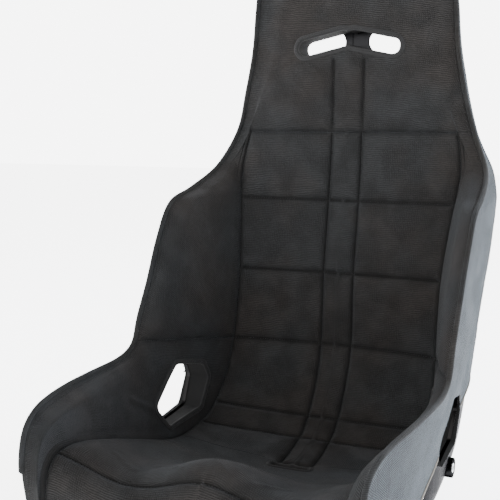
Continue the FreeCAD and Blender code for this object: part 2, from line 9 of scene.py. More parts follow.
import logging
import math
from dataclasses import dataclass, field
from enum import Enum
from typing import Callable, ClassVar, Optional, Sequence

import bpy
import numpy as np
from mathutils import Matrix, Vector
from mathutils.bvhtree import BVHTree

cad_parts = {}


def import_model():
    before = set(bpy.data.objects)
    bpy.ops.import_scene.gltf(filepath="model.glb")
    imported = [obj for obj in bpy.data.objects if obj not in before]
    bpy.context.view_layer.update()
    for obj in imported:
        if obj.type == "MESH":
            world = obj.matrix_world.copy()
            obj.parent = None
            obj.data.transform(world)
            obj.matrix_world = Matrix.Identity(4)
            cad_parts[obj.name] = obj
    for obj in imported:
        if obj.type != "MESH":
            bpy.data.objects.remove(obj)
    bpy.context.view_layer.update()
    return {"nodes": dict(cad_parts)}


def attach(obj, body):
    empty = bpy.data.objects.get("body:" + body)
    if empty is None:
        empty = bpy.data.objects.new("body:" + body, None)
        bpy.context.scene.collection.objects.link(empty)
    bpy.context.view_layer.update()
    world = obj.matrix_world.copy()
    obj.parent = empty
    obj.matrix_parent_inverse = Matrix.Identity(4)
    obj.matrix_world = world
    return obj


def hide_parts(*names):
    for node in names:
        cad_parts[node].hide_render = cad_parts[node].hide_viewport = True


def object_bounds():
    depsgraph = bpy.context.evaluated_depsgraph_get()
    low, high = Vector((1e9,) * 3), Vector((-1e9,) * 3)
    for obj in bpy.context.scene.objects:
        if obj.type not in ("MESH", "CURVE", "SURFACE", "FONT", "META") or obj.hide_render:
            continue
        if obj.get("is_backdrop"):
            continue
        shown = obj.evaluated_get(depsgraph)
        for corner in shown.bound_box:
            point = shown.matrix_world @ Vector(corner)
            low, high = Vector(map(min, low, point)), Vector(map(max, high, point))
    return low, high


LOG = logging.getLogger("racing_seat")
MM = 0.001
Array = np.ndarray
Field = Callable[[Array], Array]


# --------------------------------------------------------------------------- seat form


@dataclass(frozen=True)
class Station:
    """One cross-section of the seat, in millimetres.

    Args:
        name: what the cross-section passes through.
        cover: trim face on the centre line (y, z).
        seam: where the centre field meets the bolster (x, y, z).
        rim: the welt line (x, y, z).
        dip: hollow beside the centre.
        shell: inner shell face on the centre line (y, z).
        corner: where the shell turns up the side (x, y, z).
    """

    name: str
    cover: tuple[float, float]
    seam: tuple[float, float, float]
    rim: tuple[float, float, float]
    dip: float
    shell: tuple[float, float]
    corner: tuple[float, float, float]


STATIONS = (
    Station("crown", (286, 848), (95, 287, 848), (132, 294, 848), 0, (303, 848), (118, 303, 847)),
    Station("brow", (276, 826), (110, 279, 824), (158, 295, 820), 0, (315, 830), (148, 315, 826)),
    Station("head", (273, 770), (118, 277, 770), (166, 295, 770), 0, (318, 770), (158, 318, 770)),
    Station("slots", (273, 700), (128, 278, 700), (172, 294, 700), 0, (318, 700), (165, 318, 700)),
    Station("nape", (271, 630), (152, 279, 630), (185, 292, 630), 0, (317, 630), (178, 317, 630)),
    Station("row_one", (269, 566), (180, 279, 566), (201, 294, 568), 0, (316, 566),
            (194, 316, 567)),
    Station("shoulder", (265, 512), (188, 270, 512), (228, 266, 508), 0, (316, 512),
            (221, 316, 510)),
    Station("wing_top", (261, 480), (186, 263, 480), (239, 188, 474), 0, (315, 480),
            (231, 315, 478)),
    Station("row_two", (258, 455), (183, 258, 455), (243, 124, 454), 0, (314, 455),
            (234, 314, 455)),
    Station("wing", (249, 400), (177, 243, 400), (243, 84, 402), 0, (308, 400), (231, 308, 400)),
    Station("row_three", (239, 338), (172, 230, 338), (242, 50, 338), 0, (299, 338),
            (225, 299, 338)),
    Station("lumbar", (236, 278), (172, 220, 278), (242, 20, 286), 0, (287, 278),
            (219, 287, 278)),
    Station("row_four", (231, 220), (174, 208, 220), (242, 6, 252), 0, (274, 218),
            (215, 274, 218)),
    Station("sacrum", (209, 162), (178, 186, 164), (242, -14, 238), 0, (258, 150),
            (211, 258, 150)),
    Station("row_five", (174, 114), (182, 150, 124), (242, -38, 232), 0, (224, 86),
            (208, 224, 86)),
    Station("row_six", (138, 90), (188, 108, 102), (241, -66, 230), 0, (170, 52), (207, 170, 52)),
    Station("crotch", (50, 74), (195, 40, 97), (240, -102, 229), 0, (60, 42), (214, 60, 42)),
    Station("pan", (-50, 96), (200, -45, 122), (238, -140, 228), 4, (-50, 52), (220, -50, 50)),
    Station("slope", (-130, 138), (203, -130, 148), (235, -180, 227), 16, (-128, 84),
            (222, -130, 62)),
    Station("crest", (-196, 166), (205, -206, 168), (230, -226, 224), 26, (-190, 112),
            (221, -190, 82)),
    Station("roll", (-232, 156), (205, -256, 172), (226, -262, 216), 24, (-218, 112),
            (218, -228, 92)),
    Station("front", (-252, 126), (204, -284, 150), (223, -288, 196), 14, (-232, 92),
            (214, -256, 84)),
    Station("lip", (-256, 86), (202, -292, 106), (222, -298, 154), 4, (-236, 62),
            (212, -266, 62)),
    Station("hem", (-252, 46), (200, -288, 58), (221, -292, 106), 0, (-232, 42),
            (210, -262, 42)),
)
PLACE = {row.name: float(k) for k, row in enumerate(STATIONS)}
LAST = float(len(STATIONS) - 1)


class SeatForm:
    """Point functions of the trim face and of the shell, over (where, share).

    where runs along the seat from the crown (0) to the front hem, share across it from one rim
    (-1) to the other (1), with the long seams at one half. All results are in millimetres.
    """

    SEAM, LIP = 0.5, 0.9
    COVER_ROUND, SHELL_ROUND = 0.06, 0.11
    SHELL, GAP, SKIRT, LIP_WIDTH = 5.0, 1.0, 3.0, 16.0

    def __init__(self) -> None:
        """Tabulates the stations by column."""
        self.columns = {
            "cover": np.array([(0.0, *row.cover) for row in STATIONS]),
            "seam": np.array([row.seam for row in STATIONS], float),
            "rim": np.array([row.rim for row in STATIONS], float),
            "dip": np.array([(row.dip, 0.0, 0.0) for row in STATIONS]),
            "shell": np.array([(0.0, *row.shell) for row in STATIONS]),
            "corner": np.array([row.corner for row in STATIONS], float),
        }

    def along(self, key: str, where: Array) -> Array:
        """Column value between stations, by a curve with even slopes.

        Args:
            key: column name.
            where: places along the seat, any shape.
        Returns:
            Values with a last axis of three.
        """
        table = self.columns[key]
        where = np.clip(where, 0.0, LAST)
        low = np.minimum(where.astype(int), int(LAST) - 1)
        part = (where - low)[..., None]
        before, here = table[np.maximum(low - 1, 0)], table[low]
        there, after = table[low + 1], table[np.minimum(low + 2, int(LAST))]
        leave, arrive = (there - before) * 0.5, (after - here) * 0.5
        cube, square = part ** 3, part ** 2
        return (here * (2 * cube - 3 * square + 1) + leave * (cube - 2 * square + part)
                + there * (3 * square - 2 * cube) + arrive * (cube - square))

    @staticmethod
    def bent(points: Sequence[Array], shares: Sequence[float], share: Array,
             rounding: float) -> Array:
        """Point along straight runs whose inner corners are rounded off.

        Args:
            points: corners of the line.
            shares: share of the cross-section at each corner.
            share: places wanted, 0 to 1.
            rounding: half width of a rounded corner, as a share.
        Returns:
            Points with a last axis of three.
        """
        share = share[..., None]
        slopes = [(points[k + 1] - points[k]) / (shares[k + 1] - shares[k])
                  for k in range(len(points) - 1)]
        flat = np.array([0.0, 1.0, 1.0])
        bow = np.clip(share / shares[1], 0.0, 1.0)
        result = points[0] + slopes[0] * np.minimum(share, shares[1])
        result = result - slopes[0] * flat * shares[1] * (bow - bow ** 2)
        for k in range(1, len(slopes)):
            top = shares[k + 1] if k + 1 < len(slopes) else 9.0
            result = result + slopes[k] * np.clip(share - shares[k], 0.0, top - shares[k])
        for k in range(1, len(slopes)):
            before = slopes[k - 1] * (np.array([1.0, 2.0, 2.0]) if k == 1 else 1.0)
            reach = np.maximum(rounding - np.abs(share - shares[k]), 0.0)
            result = result + (slopes[k] - before) * (reach ** 2 / (4.0 * rounding))
        return result

    @staticmethod
    def sided(points: Array, share: Array) -> Array:
        """Points put on the side that the sign of the share asks for."""
        result = points.copy()
        result[..., 0] *= np.sign(share)
        return result

    def welt(self, where: Array, rise: float) -> Array:
        """Line along the rim, raised from it away from the shell."""
        rim, corner = self.along("rim", where), self.along("corner", where)
        away = rim - corner
        return rim + away * (rise / np.linalg.norm(away, axis=-1, keepdims=True))

    def face(self, where: Array, share: Array) -> Array:
        """Face of the trim."""
        seam, rim = self.along("seam", where), self.along("rim", where)
        inward = seam - rim
        inward = inward / np.linalg.norm(inward, axis=-1, keepdims=True)
        sideways = np.sqrt(1.0 - inward[..., :1] ** 2)
        lip = rim + inward * self.LIP_WIDTH
        lip = lip - sideways * np.array([self.LIP_WIDTH, 0.0, 0.0])
        points = (self.along("cover", where), seam, lip, self.welt(where, 2.4))
        spread = np.abs(share)
        result = self.bent(points, (0.0, self.SEAM, self.LIP, 1.0), spread, self.COVER_ROUND)
        dip = self.along("dip", where)[..., 0]
        hollow = np.sin(np.pi * np.clip(spread / self.SEAM, 0.0, 1.0)) ** 2
        result[..., 2] -= dip * hollow
        return self.sided(result, share)

    def shell(self, where: Array, share: Array, short: float = 16.0) -> Array:
        """Inner face of the shell, stopping short of the rim."""
        corner, rim = self.along("corner", where), self.along("rim", where)
        inward = corner - rim
        edge = rim + inward * (short / np.linalg.norm(inward, axis=-1, keepdims=True))
        edge = edge - np.array([self.SHELL + 3.0, 0.0, 0.0])
        spread = np.abs(share)
        side = np.clip((spread - self.SEAM) / (1.0 - self.SEAM), 0.0, 1.2)
        spread = np.where(spread > self.SEAM,
                          self.SEAM + (1.0 - self.SEAM) * side * (1.6 - 0.6 * side), spread)
        points = (self.along("shell", where), corner, edge)
        return self.sided(self.bent(points, (0.0, self.SEAM, 1.0), spread, self.SHELL_ROUND),
                          share)

    def outside(self, where: Array, share: Array, distance: float | Array,
                short: float = 16.0) -> Array:
        """Point outside the inner shell face by a distance square to it."""
        step = 0.02
        high, low = np.minimum(where + step, LAST), np.maximum(where - step, 0.0)
        down = self.shell(high, share, short) - self.shell(low, share, short)
        side = self.shell(where, share + step, short) - self.shell(where, share - step, short)
        normal = np.cross(side, down)
        normal /= np.maximum(np.linalg.norm(normal, axis=-1, keepdims=True), 1e-9)
        return self.shell(where, share, short) + normal * np.asarray(distance)[..., None]

    def inward(self, where: Array, share: Array) -> Array:
        """Unit direction from the trim face toward the shell."""
        toward = self.shell(where, share) - self.face(where, share)
        return toward / np.maximum(np.linalg.norm(toward, axis=-1, keepdims=True), 1e-9)


FORM = SeatForm()


# --------------------------------------------------------------------------- noise and openings


def value_noise(points: Array, scale: float, seed: int) -> Array:
    """Smooth noise, about -1 to 1, from a few summed waves in fixed directions.

    Args:
        points: places in millimetres, last axis three.
        scale: distance between bumps in millimetres.
        seed: picks the directions and phases.
    Returns:
        Noise of the shape of the places.
    """
    rng = np.random.default_rng(seed)
    total = np.zeros(points.shape[:-1])
    for _ in range(9):
        heading = rng.normal(size=3)
        heading *= rng.uniform(0.7, 1.5) / np.linalg.norm(heading)
        total += np.sin(points @ heading * (2 * math.pi / scale) + rng.uniform(0, 2 * math.pi))
    return total / 4.0


def segment_distance(plane: Array, start: Array, end: Array) -> Array:
    """Distance in a plane from points to a segment."""
    line = end - start
    length = max(float(line @ line), 1e-9)
    part = np.clip(((plane - start) @ line) / length, 0.0, 1.0)
    return np.linalg.norm(plane - (start + part[..., None] * line), axis=-1)


def slot_field(centre: tuple[float, float], length: float, width: float,
               slant: float) -> Field:
    """Signed distance of a round-ended slot, negative inside.

    Args:
        centre: middle of the slot in its plane.
        length: end to end.
        width: across.
        slant: turn in degrees.
    Returns:
        Function of points in the plane.
    """
    half = (length - width) / 2.0
    turn = np.array([math.cos(math.radians(slant)), math.sin(math.radians(slant))])
    start, end = np.array(centre) - turn * half, np.array(centre) + turn * half
    return lambda plane: segment_distance(plane, start, end) - width / 2.0


def corner_field(corners: Array, rounding: float) -> Field:
    """Signed distance of a convex outline with rounded corners, negative inside."""
    count = len(corners)
    middle = corners.mean(axis=0)
    lines = []
    for k in range(count):
        run = corners[(k + 1) % count] - corners[k]
        normal = np.array([run[1], -run[0]]) / np.linalg.norm(run)
        if (corners[k] - middle) @ normal < 0:
            normal = -normal
        lines.append((normal, normal @ corners[k] - rounding))
    inner = []
    for k in range(count):
        (one, near), (two, far) = lines[k - 1], lines[k]
        inner.append(np.linalg.solve(np.array([one, two]), np.array([near, far])))

    def distance(plane: Array) -> Array:
        edges = [segment_distance(plane, inner[k - 1], inner[k]) for k in range(count)]
        within = np.all([plane @ n < d for n, d in lines], axis=0)
        return np.where(within, -1.0, 1.0) * np.min(edges, axis=0) - rounding
    return distance


@dataclass
class Opening:
    """A way through the trim and the shell.

    Args:
        name: what it is for.
        axes: the two axes of its plane.
        through: the axis it runs along, with a sign for the way out of the seat.
        centre: a point inside, in its plane.
        field: signed distance in its plane.
    """

    name: str
    axes: tuple[int, int]
    through: tuple[int, int]
    centre: tuple[float, float]
    field: Field

    def distance(self, points: Array) -> Array:
        """Signed distance of points in millimetres; far on the other side of the seat."""
        plane = points[..., list(self.axes)]
        found = self.field(plane)
        axis, sign = self.through
        if axis == 0:
            found = np.where(points[..., 0] * sign > 100.0, found, 999.0)
        return found

    def outline(self, grow: float, count: int) -> Array:
        """Evenly spaced outline in its plane, grown by a distance.

        Args:
            grow: millimetres outward.
            count: number of points.
        Returns:
            Array of plane points.
        """
        angles = np.linspace(0, 2 * math.pi, 721)
        rays = np.stack([np.cos(angles), np.sin(angles)], axis=-1)
        low, high = np.zeros(len(angles)), np.full(len(angles), 200.0)
        for _ in range(26):
            middle = (low + high) / 2.0
            inside = self.field(np.array(self.centre) + rays * middle[:, None]) < grow
            low, high = np.where(inside, middle, low), np.where(inside, high, middle)
        ring = np.array(self.centre) + rays * low[:, None]
        travel = np.concatenate([[0.0], np.cumsum(np.linalg.norm(np.diff(ring, axis=0),
                                                                 axis=1))])
        stops = np.linspace(0.0, travel[-1], count, endpoint=False)
        return np.stack([np.interp(stops, travel, ring[:, k]) for k in (0, 1)], axis=-1)


LAP_CORNERS = ((-1.05, -0.2), (-0.1, 1.0), (0.82, 0.72), (0.95, 0.2), (0.58, -0.78), (-0.6, -1.0))


def seat_openings() -> dict[str, Opening]:
    """The harness, lap belt and crotch openings of the trim."""
    halves = [slot_field((side * 41.0, 717.0 - math.tan(math.radians(12.0)) * 41.0), 94.0, 28.0,
                         -side * 12.0) for side in (-1, 1)]

    def chevron(plane: Array) -> Array:
        return np.minimum(halves[0](plane), halves[1](plane))
    corners = np.array([(72.0 + y * 70.0, 160.0 + z * 46.0) for y, z in LAP_CORNERS])
    lap = corner_field(corners, 12.0)
    return {
        "harness": Opening("harness", (0, 2), (1, 1), (0.0, 716.0), chevron),
        "lap_left": Opening("lap_left", (1, 2), (0, 1), (72.0, 160.0), lap),
        "lap_right": Opening("lap_right", (1, 2), (0, -1), (72.0, 160.0), lap),
        "crotch": Opening("crotch", (0, 1), (2, -1), (0.0, 40.0),
                          slot_field((0.0, 40.0), 64.0, 18.0, 0.0)),
    }


OPENINGS = seat_openings()


# --------------------------------------------------------------------------- quilting


@dataclass(frozen=True)
class Seam:
    """One sewn line that pinches the trim.

    Args:
        across: True if it runs across the seat at a fixed place.
        at: place along the seat, or share, or millimetres from the centre line.
        start: first share or place it covers.
        end: last share or place it covers.
        depth: how deep it pinches, in millimetres.
        flat: True if at is in millimetres from the centre line.
    """

    across: bool
    at: float
    start: float
    end: float
    depth: float = 4.0
    flat: bool = False


SEAMS = (
    Seam(True, PLACE["row_one"], 0.0, 0.56, 6.0),
    Seam(True, PLACE["row_two"], 0.0, 0.5, 6.0),
    Seam(True, PLACE["row_three"], 0.0, 0.5, 6.0),
    Seam(True, PLACE["row_four"], 0.0, 0.97, 5.0),
    Seam(True, PLACE["row_five"], 0.0, 0.5, 5.2),
    Seam(True, PLACE["row_six"], 0.0, 0.5, 5.2),
    Seam(True, PLACE["crotch"] - 0.12, 0.0, 0.075, 4.5),
    Seam(True, PLACE["roll"] + 0.1, 0.0, 0.5, 4.5),
    Seam(False, 25.0, PLACE["slots"] + 0.2, PLACE["crotch"] - 0.12, 5.2, True),
    Seam(False, 0.5, PLACE["row_one"], LAST, 6.0),
)


def smooth_step(values: Array, low: float, high: float) -> Array:
    """Soft step from 0 at low to 1 at high."""
    part = np.clip((values - low) / (high - low), 0.0, 1.0)
    return part * part * (3.0 - 2.0 * part)


def seam_distance(where: Array, share: Array) -> tuple[Array, Array]:
    """How far each place lies from the sewn lines.

    Args:
        where: places along the seat.
        share: shares across it.
    Returns:
        Pinch depth of the seams and the distance to the nearest, both in millimetres.
    """
    base = FORM.face(where, share)
    step = 0.01
    run = np.linalg.norm(FORM.face(np.minimum(where + step, LAST), share)
                         - FORM.face(np.maximum(where - step, 0.0), share), axis=-1) / (2 * step)
    spread = np.abs(share)
    wide = np.linalg.norm(FORM.face(where, spread + step)
                          - FORM.face(where, np.maximum(spread - step, 0.001)), axis=-1)
    wide = wide / (2 * step)
    pinch = np.zeros(where.shape)
    nearest = np.full(where.shape, 60.0)
    for seam in SEAMS:
        if seam.across:
            away = np.abs(where - seam.at) * run
            past = np.maximum(spread - seam.end, seam.start - spread) * wide
        else:
            reach = np.abs(base[..., 0]) - seam.at if seam.flat else (spread - seam.at) * wide
            away = np.abs(reach)
            past = np.maximum(where - seam.end, seam.start - where) * run
        fade = 1.0 - smooth_step(past, -4.0, 6.0)
        pinch = np.maximum(pinch, seam.depth * fade * (0.7 * np.exp(-(away / 3.1) ** 2)
                                                       + 0.3 * np.exp(-(away / 9.0) ** 2)))
        nearest = np.minimum(nearest, away + 60.0 * (1.0 - fade))
    return pinch, nearest


def relief(where: Array, share: Array) -> Array:
    """Depth of the quilted face below the plain trim face, in millimetres.

    Args:
        where: places along the seat.
        share: shares across it.
    Returns:
        Depth, negative where the padding stands proud.
    """
    base = FORM.face(where, share)
    spread = np.abs(share)
    pinch, nearest = seam_distance(where, share)
    puff = 3.4 * (1.0 - np.exp(-(nearest / 20.0) ** 1.5))
    edge = 1.0 - smooth_step(spread, 0.86, 0.96)
    pucker = 0.28 * np.exp(-nearest / 9.0) * value_noise(base, 13.0, 3)
    swell = 0.7 * value_noise(base, 95.0, 5) + 0.22 * value_noise(base, 34.0, 8)
    return pinch - (puff - 1.6 + pucker + swell) * edge - creases(base) * edge


class Region(Enum):
    """Part of the trim that a fold may show on."""

    HEAD = "head"
    SIDE = "side"
    PAN = "pan"

    def holds(self, base: Array) -> Array:
        """True where a point of the trim face belongs to the part."""
        if self is Region.HEAD:
            return base[..., 2] > 600.0
        if self is Region.SIDE:
            return np.abs(base[..., 0]) > 150.0
        return base[..., 2] < 240.0


@dataclass(frozen=True)
class Fold:
    """One small fold of the cover, in a plane of the row frame and in millimetres.

    Args:
        axes: the two axes of its plane.
        start: one end.
        end: the other end.
        width: half width of its crest.
        height: height of its crest.
        region: part of the trim it shows on.
    """

    axes: tuple[int, int]
    start: tuple[float, float]
    end: tuple[float, float]
    width: float
    height: float
    region: Region

    def rise(self, base: Array) -> Array:
        """Height of the fold at points of the trim face."""
        away = segment_distance(base[..., list(self.axes)], np.array(self.start, float),
                                np.array(self.end, float))
        crest = np.exp(-(away / self.width) ** 2)
        trough = 0.6 * np.exp(-(away / (2 * self.width)) ** 2)
        return np.where(self.region.holds(base), self.height * (crest - trough), 0.0)


XZ, YZ, XY = (0, 2), (1, 2), (0, 1)
FOLDS = (
    Fold(XZ, (86, 700), (128, 668), 5.0, 2.2, Region.HEAD),
    Fold(XZ, (86, 700), (120, 722), 5.0, 1.8, Region.HEAD),
    Fold(XZ, (-86, 700), (-128, 668), 5.0, 2.2, Region.HEAD),
    Fold(XZ, (-86, 700), (-122, 724), 5.0, 1.8, Region.HEAD),
    Fold(YZ, (138, 196), (176, 222), 6.0, 2.6, Region.SIDE),
    Fold(YZ, (-6, 150), (-58, 178), 6.0, 2.4, Region.SIDE),
    Fold(YZ, (118, 122), (150, 118), 5.0, 2.0, Region.SIDE),
    Fold(YZ, (30, 110), (0, 104), 5.0, 1.6, Region.SIDE),
    Fold(XY, (60, -212), (96, -188), 4.0, 2.2, Region.PAN),
    Fold(XY, (-40, -214), (-84, -196), 4.0, 2.0, Region.PAN),
    Fold(XY, (10, -150), (64, -138), 6.0, 1.6, Region.PAN),
    Fold(XY, (-70, -160), (-20, -172), 6.0, 1.7, Region.PAN),
    Fold(XY, (-150, -196), (-108, -214), 4.5, 2.0, Region.PAN),
    Fold(XY, (130, -170), (176, -190), 5.0, 2.0, Region.PAN),
    Fold(XY, (-4, -196), (26, -218), 4.0, 1.8, Region.PAN),
)


def creases(base: Array) -> Array:
    """Small folds where the cover is pulled: slot ends, belt openings, front mound.

    Args:
        base: points of the trim face in millimetres.
    Returns:
        Height of the folds.
    """
    total = np.zeros(base.shape[:-1])
    for fold in FOLDS:
        total += fold.rise(base)
    return total


def quilted(where: Array, share: Array, extra: float = 0.0) -> Array:
    """Points of the finished trim face, pushed in by an extra depth in millimetres."""
    depth = relief(where, share) + extra
    return FORM.face(where, share) + FORM.inward(where, share) * depth[..., None]


# --------------------------------------------------------------------------- finishes


def linear(code: str) -> tuple[float, float, float, float]:
    """Linear colour of a six-digit sRGB code."""
    channels = [int(code[k:k + 2], 16) / 255.0 for k in (1, 3, 5)]
    linear_channels = [c / 12.92 if c <= 0.04045 else ((c + 0.055) / 1.055) ** 2.4
                       for c in channels]
    return (*linear_channels, 1.0)


def add_node(tree: bpy.types.NodeTree, kind: str, settings: Optional[dict] = None,
             links: Optional[dict] = None) -> bpy.types.Node:
    """Adds a node, sets its options and sockets, and links what feeds it.

    Args:
        tree: node tree.
        kind: node type.
        settings: attribute names, or input sockets by name or index, with values.
        links: input sockets by name or index, with the sockets that feed them.
    Returns:
        The node.
    """
    node = tree.nodes.new(kind)
    for key, value in (settings or {}).items():
        if isinstance(key, str) and hasattr(node, key) and key not in node.inputs:
            setattr(node, key, value)
        else:
            node.inputs[key].default_value = value
    for key, source in (links or {}).items():
        tree.links.new(source, node.inputs[key])
    return node


def math_node(tree: bpy.types.NodeTree, operation: str, *values: object) -> object:
    """Output of a math node over numbers and sockets."""
    settings = {k: v for k, v in enumerate(values) if isinstance(v, (int, float))}
    links = {k: v for k, v in enumerate(values) if not isinstance(v, (int, float))}
    return add_node(tree, "ShaderNodeMath", {"operation": operation, **settings},
                    links).outputs[0]


def mix_colour(tree: bpy.types.NodeTree, share: object, low: object, high: object,
               blend: str = "MIX") -> object:
    """Colour output between two colours or sockets."""
    settings: dict = {"data_type": "RGBA", "blend_type": blend}
    node = add_node(tree, "ShaderNodeMix", settings)
    for index, value in ((0, share), (6, low), (7, high)):
        if isinstance(value, (int, float, tuple)):
            node.inputs[index].default_value = value
        else:
            tree.links.new(value, node.inputs[index])
    return node.outputs[2]


def spread_out(tree: bpy.types.NodeTree, value: object, low: float, high: float,
               start: float = 0.0, end: float = 1.0) -> object:
    """Socket that maps a value from low..high to start..end, clamped."""
    return add_node(tree, "ShaderNodeMapRange", {1: low, 2: high, 3: start, 4: end},
                    {0: value}).outputs[0]


def fresh_material(name: str) -> tuple[bpy.types.Material, bpy.types.NodeTree, bpy.types.Node]:
    """New material with a bare principled shader."""
    material = bpy.data.materials.new(name)
    material.use_nodes = True
    tree = material.node_tree
    tree.nodes.clear()
    shader = add_node(tree, "ShaderNodeBsdfPrincipled")
    add_node(tree, "ShaderNodeOutputMaterial", {}, {"Surface": shader.outputs[0]})
    return material, tree, shader


@dataclass(frozen=True)
class Tweed:
    """Coarse upholstery tweed: dark thick yarns in a ribbed basket weave with a soft sheen.

    Args:
        name: material name.
        yarn: colour of the yarns.
        shade: colour between them.
        warm: colour the yarn fades toward in patches.
        pitch: distance between yarns in metres.
        relief: bump strength.
        sheen: weight of the grazing fuzz.
        fuzz: colour of the fuzz.
    """

    name: str
    yarn: str = "#252423"
    shade: str = "#050505"
    warm: str = "#2a251e"
    pitch: float = 0.0029
    relief: float = 0.85
    sheen: float = 0.045
    fuzz: str = "#cfcdca"

    def build(self) -> bpy.types.Material:
        """Material whose weave follows the UV map, which is in metres."""
        material, tree, shader = fresh_material(self.name)
        place = add_node(tree, "ShaderNodeTexCoord").outputs["Object"]
        height = self.weave(tree, place)
        tone = add_node(tree, "ShaderNodeTexNoise", {"Scale": 9.0, "Detail": 4.0},
                        {"Vector": place}).outputs[0]
        worn = add_node(tree, "ShaderNodeTexNoise", {"Scale": 45.0, "Detail": 5.0,
                                                     "Roughness": 0.7},
                        {"Vector": place}).outputs[0]
        # Warm and cool patches where the yarn has faded unevenly.
        patch = spread_out(tree, tone, 0.4, 0.62)
        yarn = mix_colour(tree, patch, linear(self.yarn), linear(self.warm))
        lit = math_node(tree, "MULTIPLY", height, math_node(tree, "ADD", worn, 0.45))
        base = mix_colour(tree, lit, linear(self.shade), yarn)
        lint = add_node(tree, "ShaderNodeTexVoronoi", {"Scale": 48.0, "Randomness": 1.0},
                        {"Vector": place}).outputs[0]
        speck = math_node(tree, "LESS_THAN", lint, 0.02)
        fluffed = mix_colour(tree, math_node(tree, "MULTIPLY", speck, 0.4), base,
                             linear("#5d5b57"))
        # Painted shade: the yarn is darkened toward near black along the sewn lines, standing in
        # for the shade in the seam grooves.
        seam_shade_attribute = add_node(tree, "ShaderNodeAttribute", {"attribute_name": "crushed"}).outputs[2]
        colour = mix_colour(tree, math_node(tree, "MULTIPLY", seam_shade_attribute, 0.86), fluffed,
                            linear("#020202"))
        tree.links.new(colour, shader.inputs["Base Color"])
        shader.inputs["Roughness"].default_value = 0.9
        shader.inputs["Specular IOR Level"].default_value = 0.1
        shader.inputs["Sheen Weight"].default_value = self.sheen
        shader.inputs["Sheen Roughness"].default_value = 0.35
        shader.inputs["Sheen Tint"].default_value = linear(self.fuzz)
        bump = add_node(tree, "ShaderNodeBump", {"Strength": self.relief, "Distance": 0.0011},
                        {"Height": height})
        tree.links.new(bump.outputs[0], shader.inputs["Normal"])
        return material

    def weave(self, tree: bpy.types.NodeTree, place: object) -> object:
        """Height of the yarns: basket weave, with patches where ribs run across.

        Args:
            tree: node tree.
            place: object coordinates socket.
        Returns:
            Socket of the height, about 0 to 1.
        """
        uv = add_node(tree, "ShaderNodeUVMap", {"uv_map": "cloth"}).outputs[0]
        drift = add_node(tree, "ShaderNodeTexNoise", {"Scale": 60.0, "Detail": 2.0},
                         {"Vector": place}).outputs[0]
        parts = add_node(tree, "ShaderNodeSeparateXYZ", {}, {0: uv}).outputs
        # Yarns wander a little, so the weave never lines up like a printed grid.
        slip = math_node(tree, "MULTIPLY", math_node(tree, "SUBTRACT", drift, 0.5),
                         self.pitch * 1.6)
        across = math_node(tree, "ADD", parts[0], slip)
        along = math_node(tree, "SUBTRACT", parts[1], slip)
        turn = math.pi / self.pitch
        warp = math_node(tree, "SINE", math_node(tree, "MULTIPLY", across, turn))
        weft = math_node(tree, "SINE", math_node(tree, "MULTIPLY", along, turn))
        knots = math_node(tree, "ABSOLUTE", math_node(tree, "MULTIPLY", warp, weft))
        ribs = math_node(tree, "ABSOLUTE", weft)
        region = add_node(tree, "ShaderNodeTexNoise", {"Scale": 22.0, "Detail": 1.0},
                          {"Vector": place}).outputs[0]
        share = spread_out(tree, region, 0.42, 0.58)
        mixed = math_node(tree, "ADD", math_node(tree, "MULTIPLY", ribs, share),
                          math_node(tree, "MULTIPLY", knots,
                                    math_node(tree, "SUBTRACT", 1.0, share)))
        slubs = add_node(tree, "ShaderNodeTexNoise", {"Scale": 380.0, "Detail": 3.0},
                         {"Vector": place}).outputs[0]
        return math_node(tree, "ADD", math_node(tree, "MULTIPLY", mixed, 0.75),
                         math_node(tree, "MULTIPLY",
                                   math_node(tree, "SUBTRACT", slubs, 0.35), 0.9))


@dataclass(frozen=True)
class Tape:
    """Finely ribbed woven tape or lining cloth.

    Args:
        name: material name.
        colour: yarn colour.
        pitch: rib pitch in metres.
        roughness: surface roughness.
        sheen: weight of the grazing fuzz.
    """

    name: str
    colour: str
    pitch: float = 0.0009
    roughness: float = 0.7
    sheen: float = 0.15

    def build(self) -> bpy.types.Material:
        """Material with ribs along the UV map."""
        material, tree, shader = fresh_material(self.name)
        uv = add_node(tree, "ShaderNodeUVMap", {"uv_map": "cloth"}).outputs[0]
        parts = add_node(tree, "ShaderNodeSeparateXYZ", {}, {0: uv}).outputs
        ribs = math_node(tree, "SINE", math_node(tree, "MULTIPLY", parts[0],
                                                 2.0 * math.pi / self.pitch))
        fuzz = add_node(tree, "ShaderNodeTexNoise", {"Scale": 900.0, "Detail": 2.0}).outputs[0]
        height = math_node(tree, "ADD", ribs, fuzz)
        colour = mix_colour(tree, math_node(tree, "MULTIPLY", fuzz, 0.5), linear(self.colour),
                            linear("#040404"))
        tree.links.new(colour, shader.inputs["Base Color"])
        shader.inputs["Roughness"].default_value = self.roughness
        shader.inputs["Specular IOR Level"].default_value = 0.15
        shader.inputs["Sheen Weight"].default_value = self.sheen
        bump = add_node(tree, "ShaderNodeBump", {"Strength": 0.4, "Distance": 0.0003},
                        {"Height": height})
        tree.links.new(bump.outputs[0], shader.inputs["Normal"])
        return material


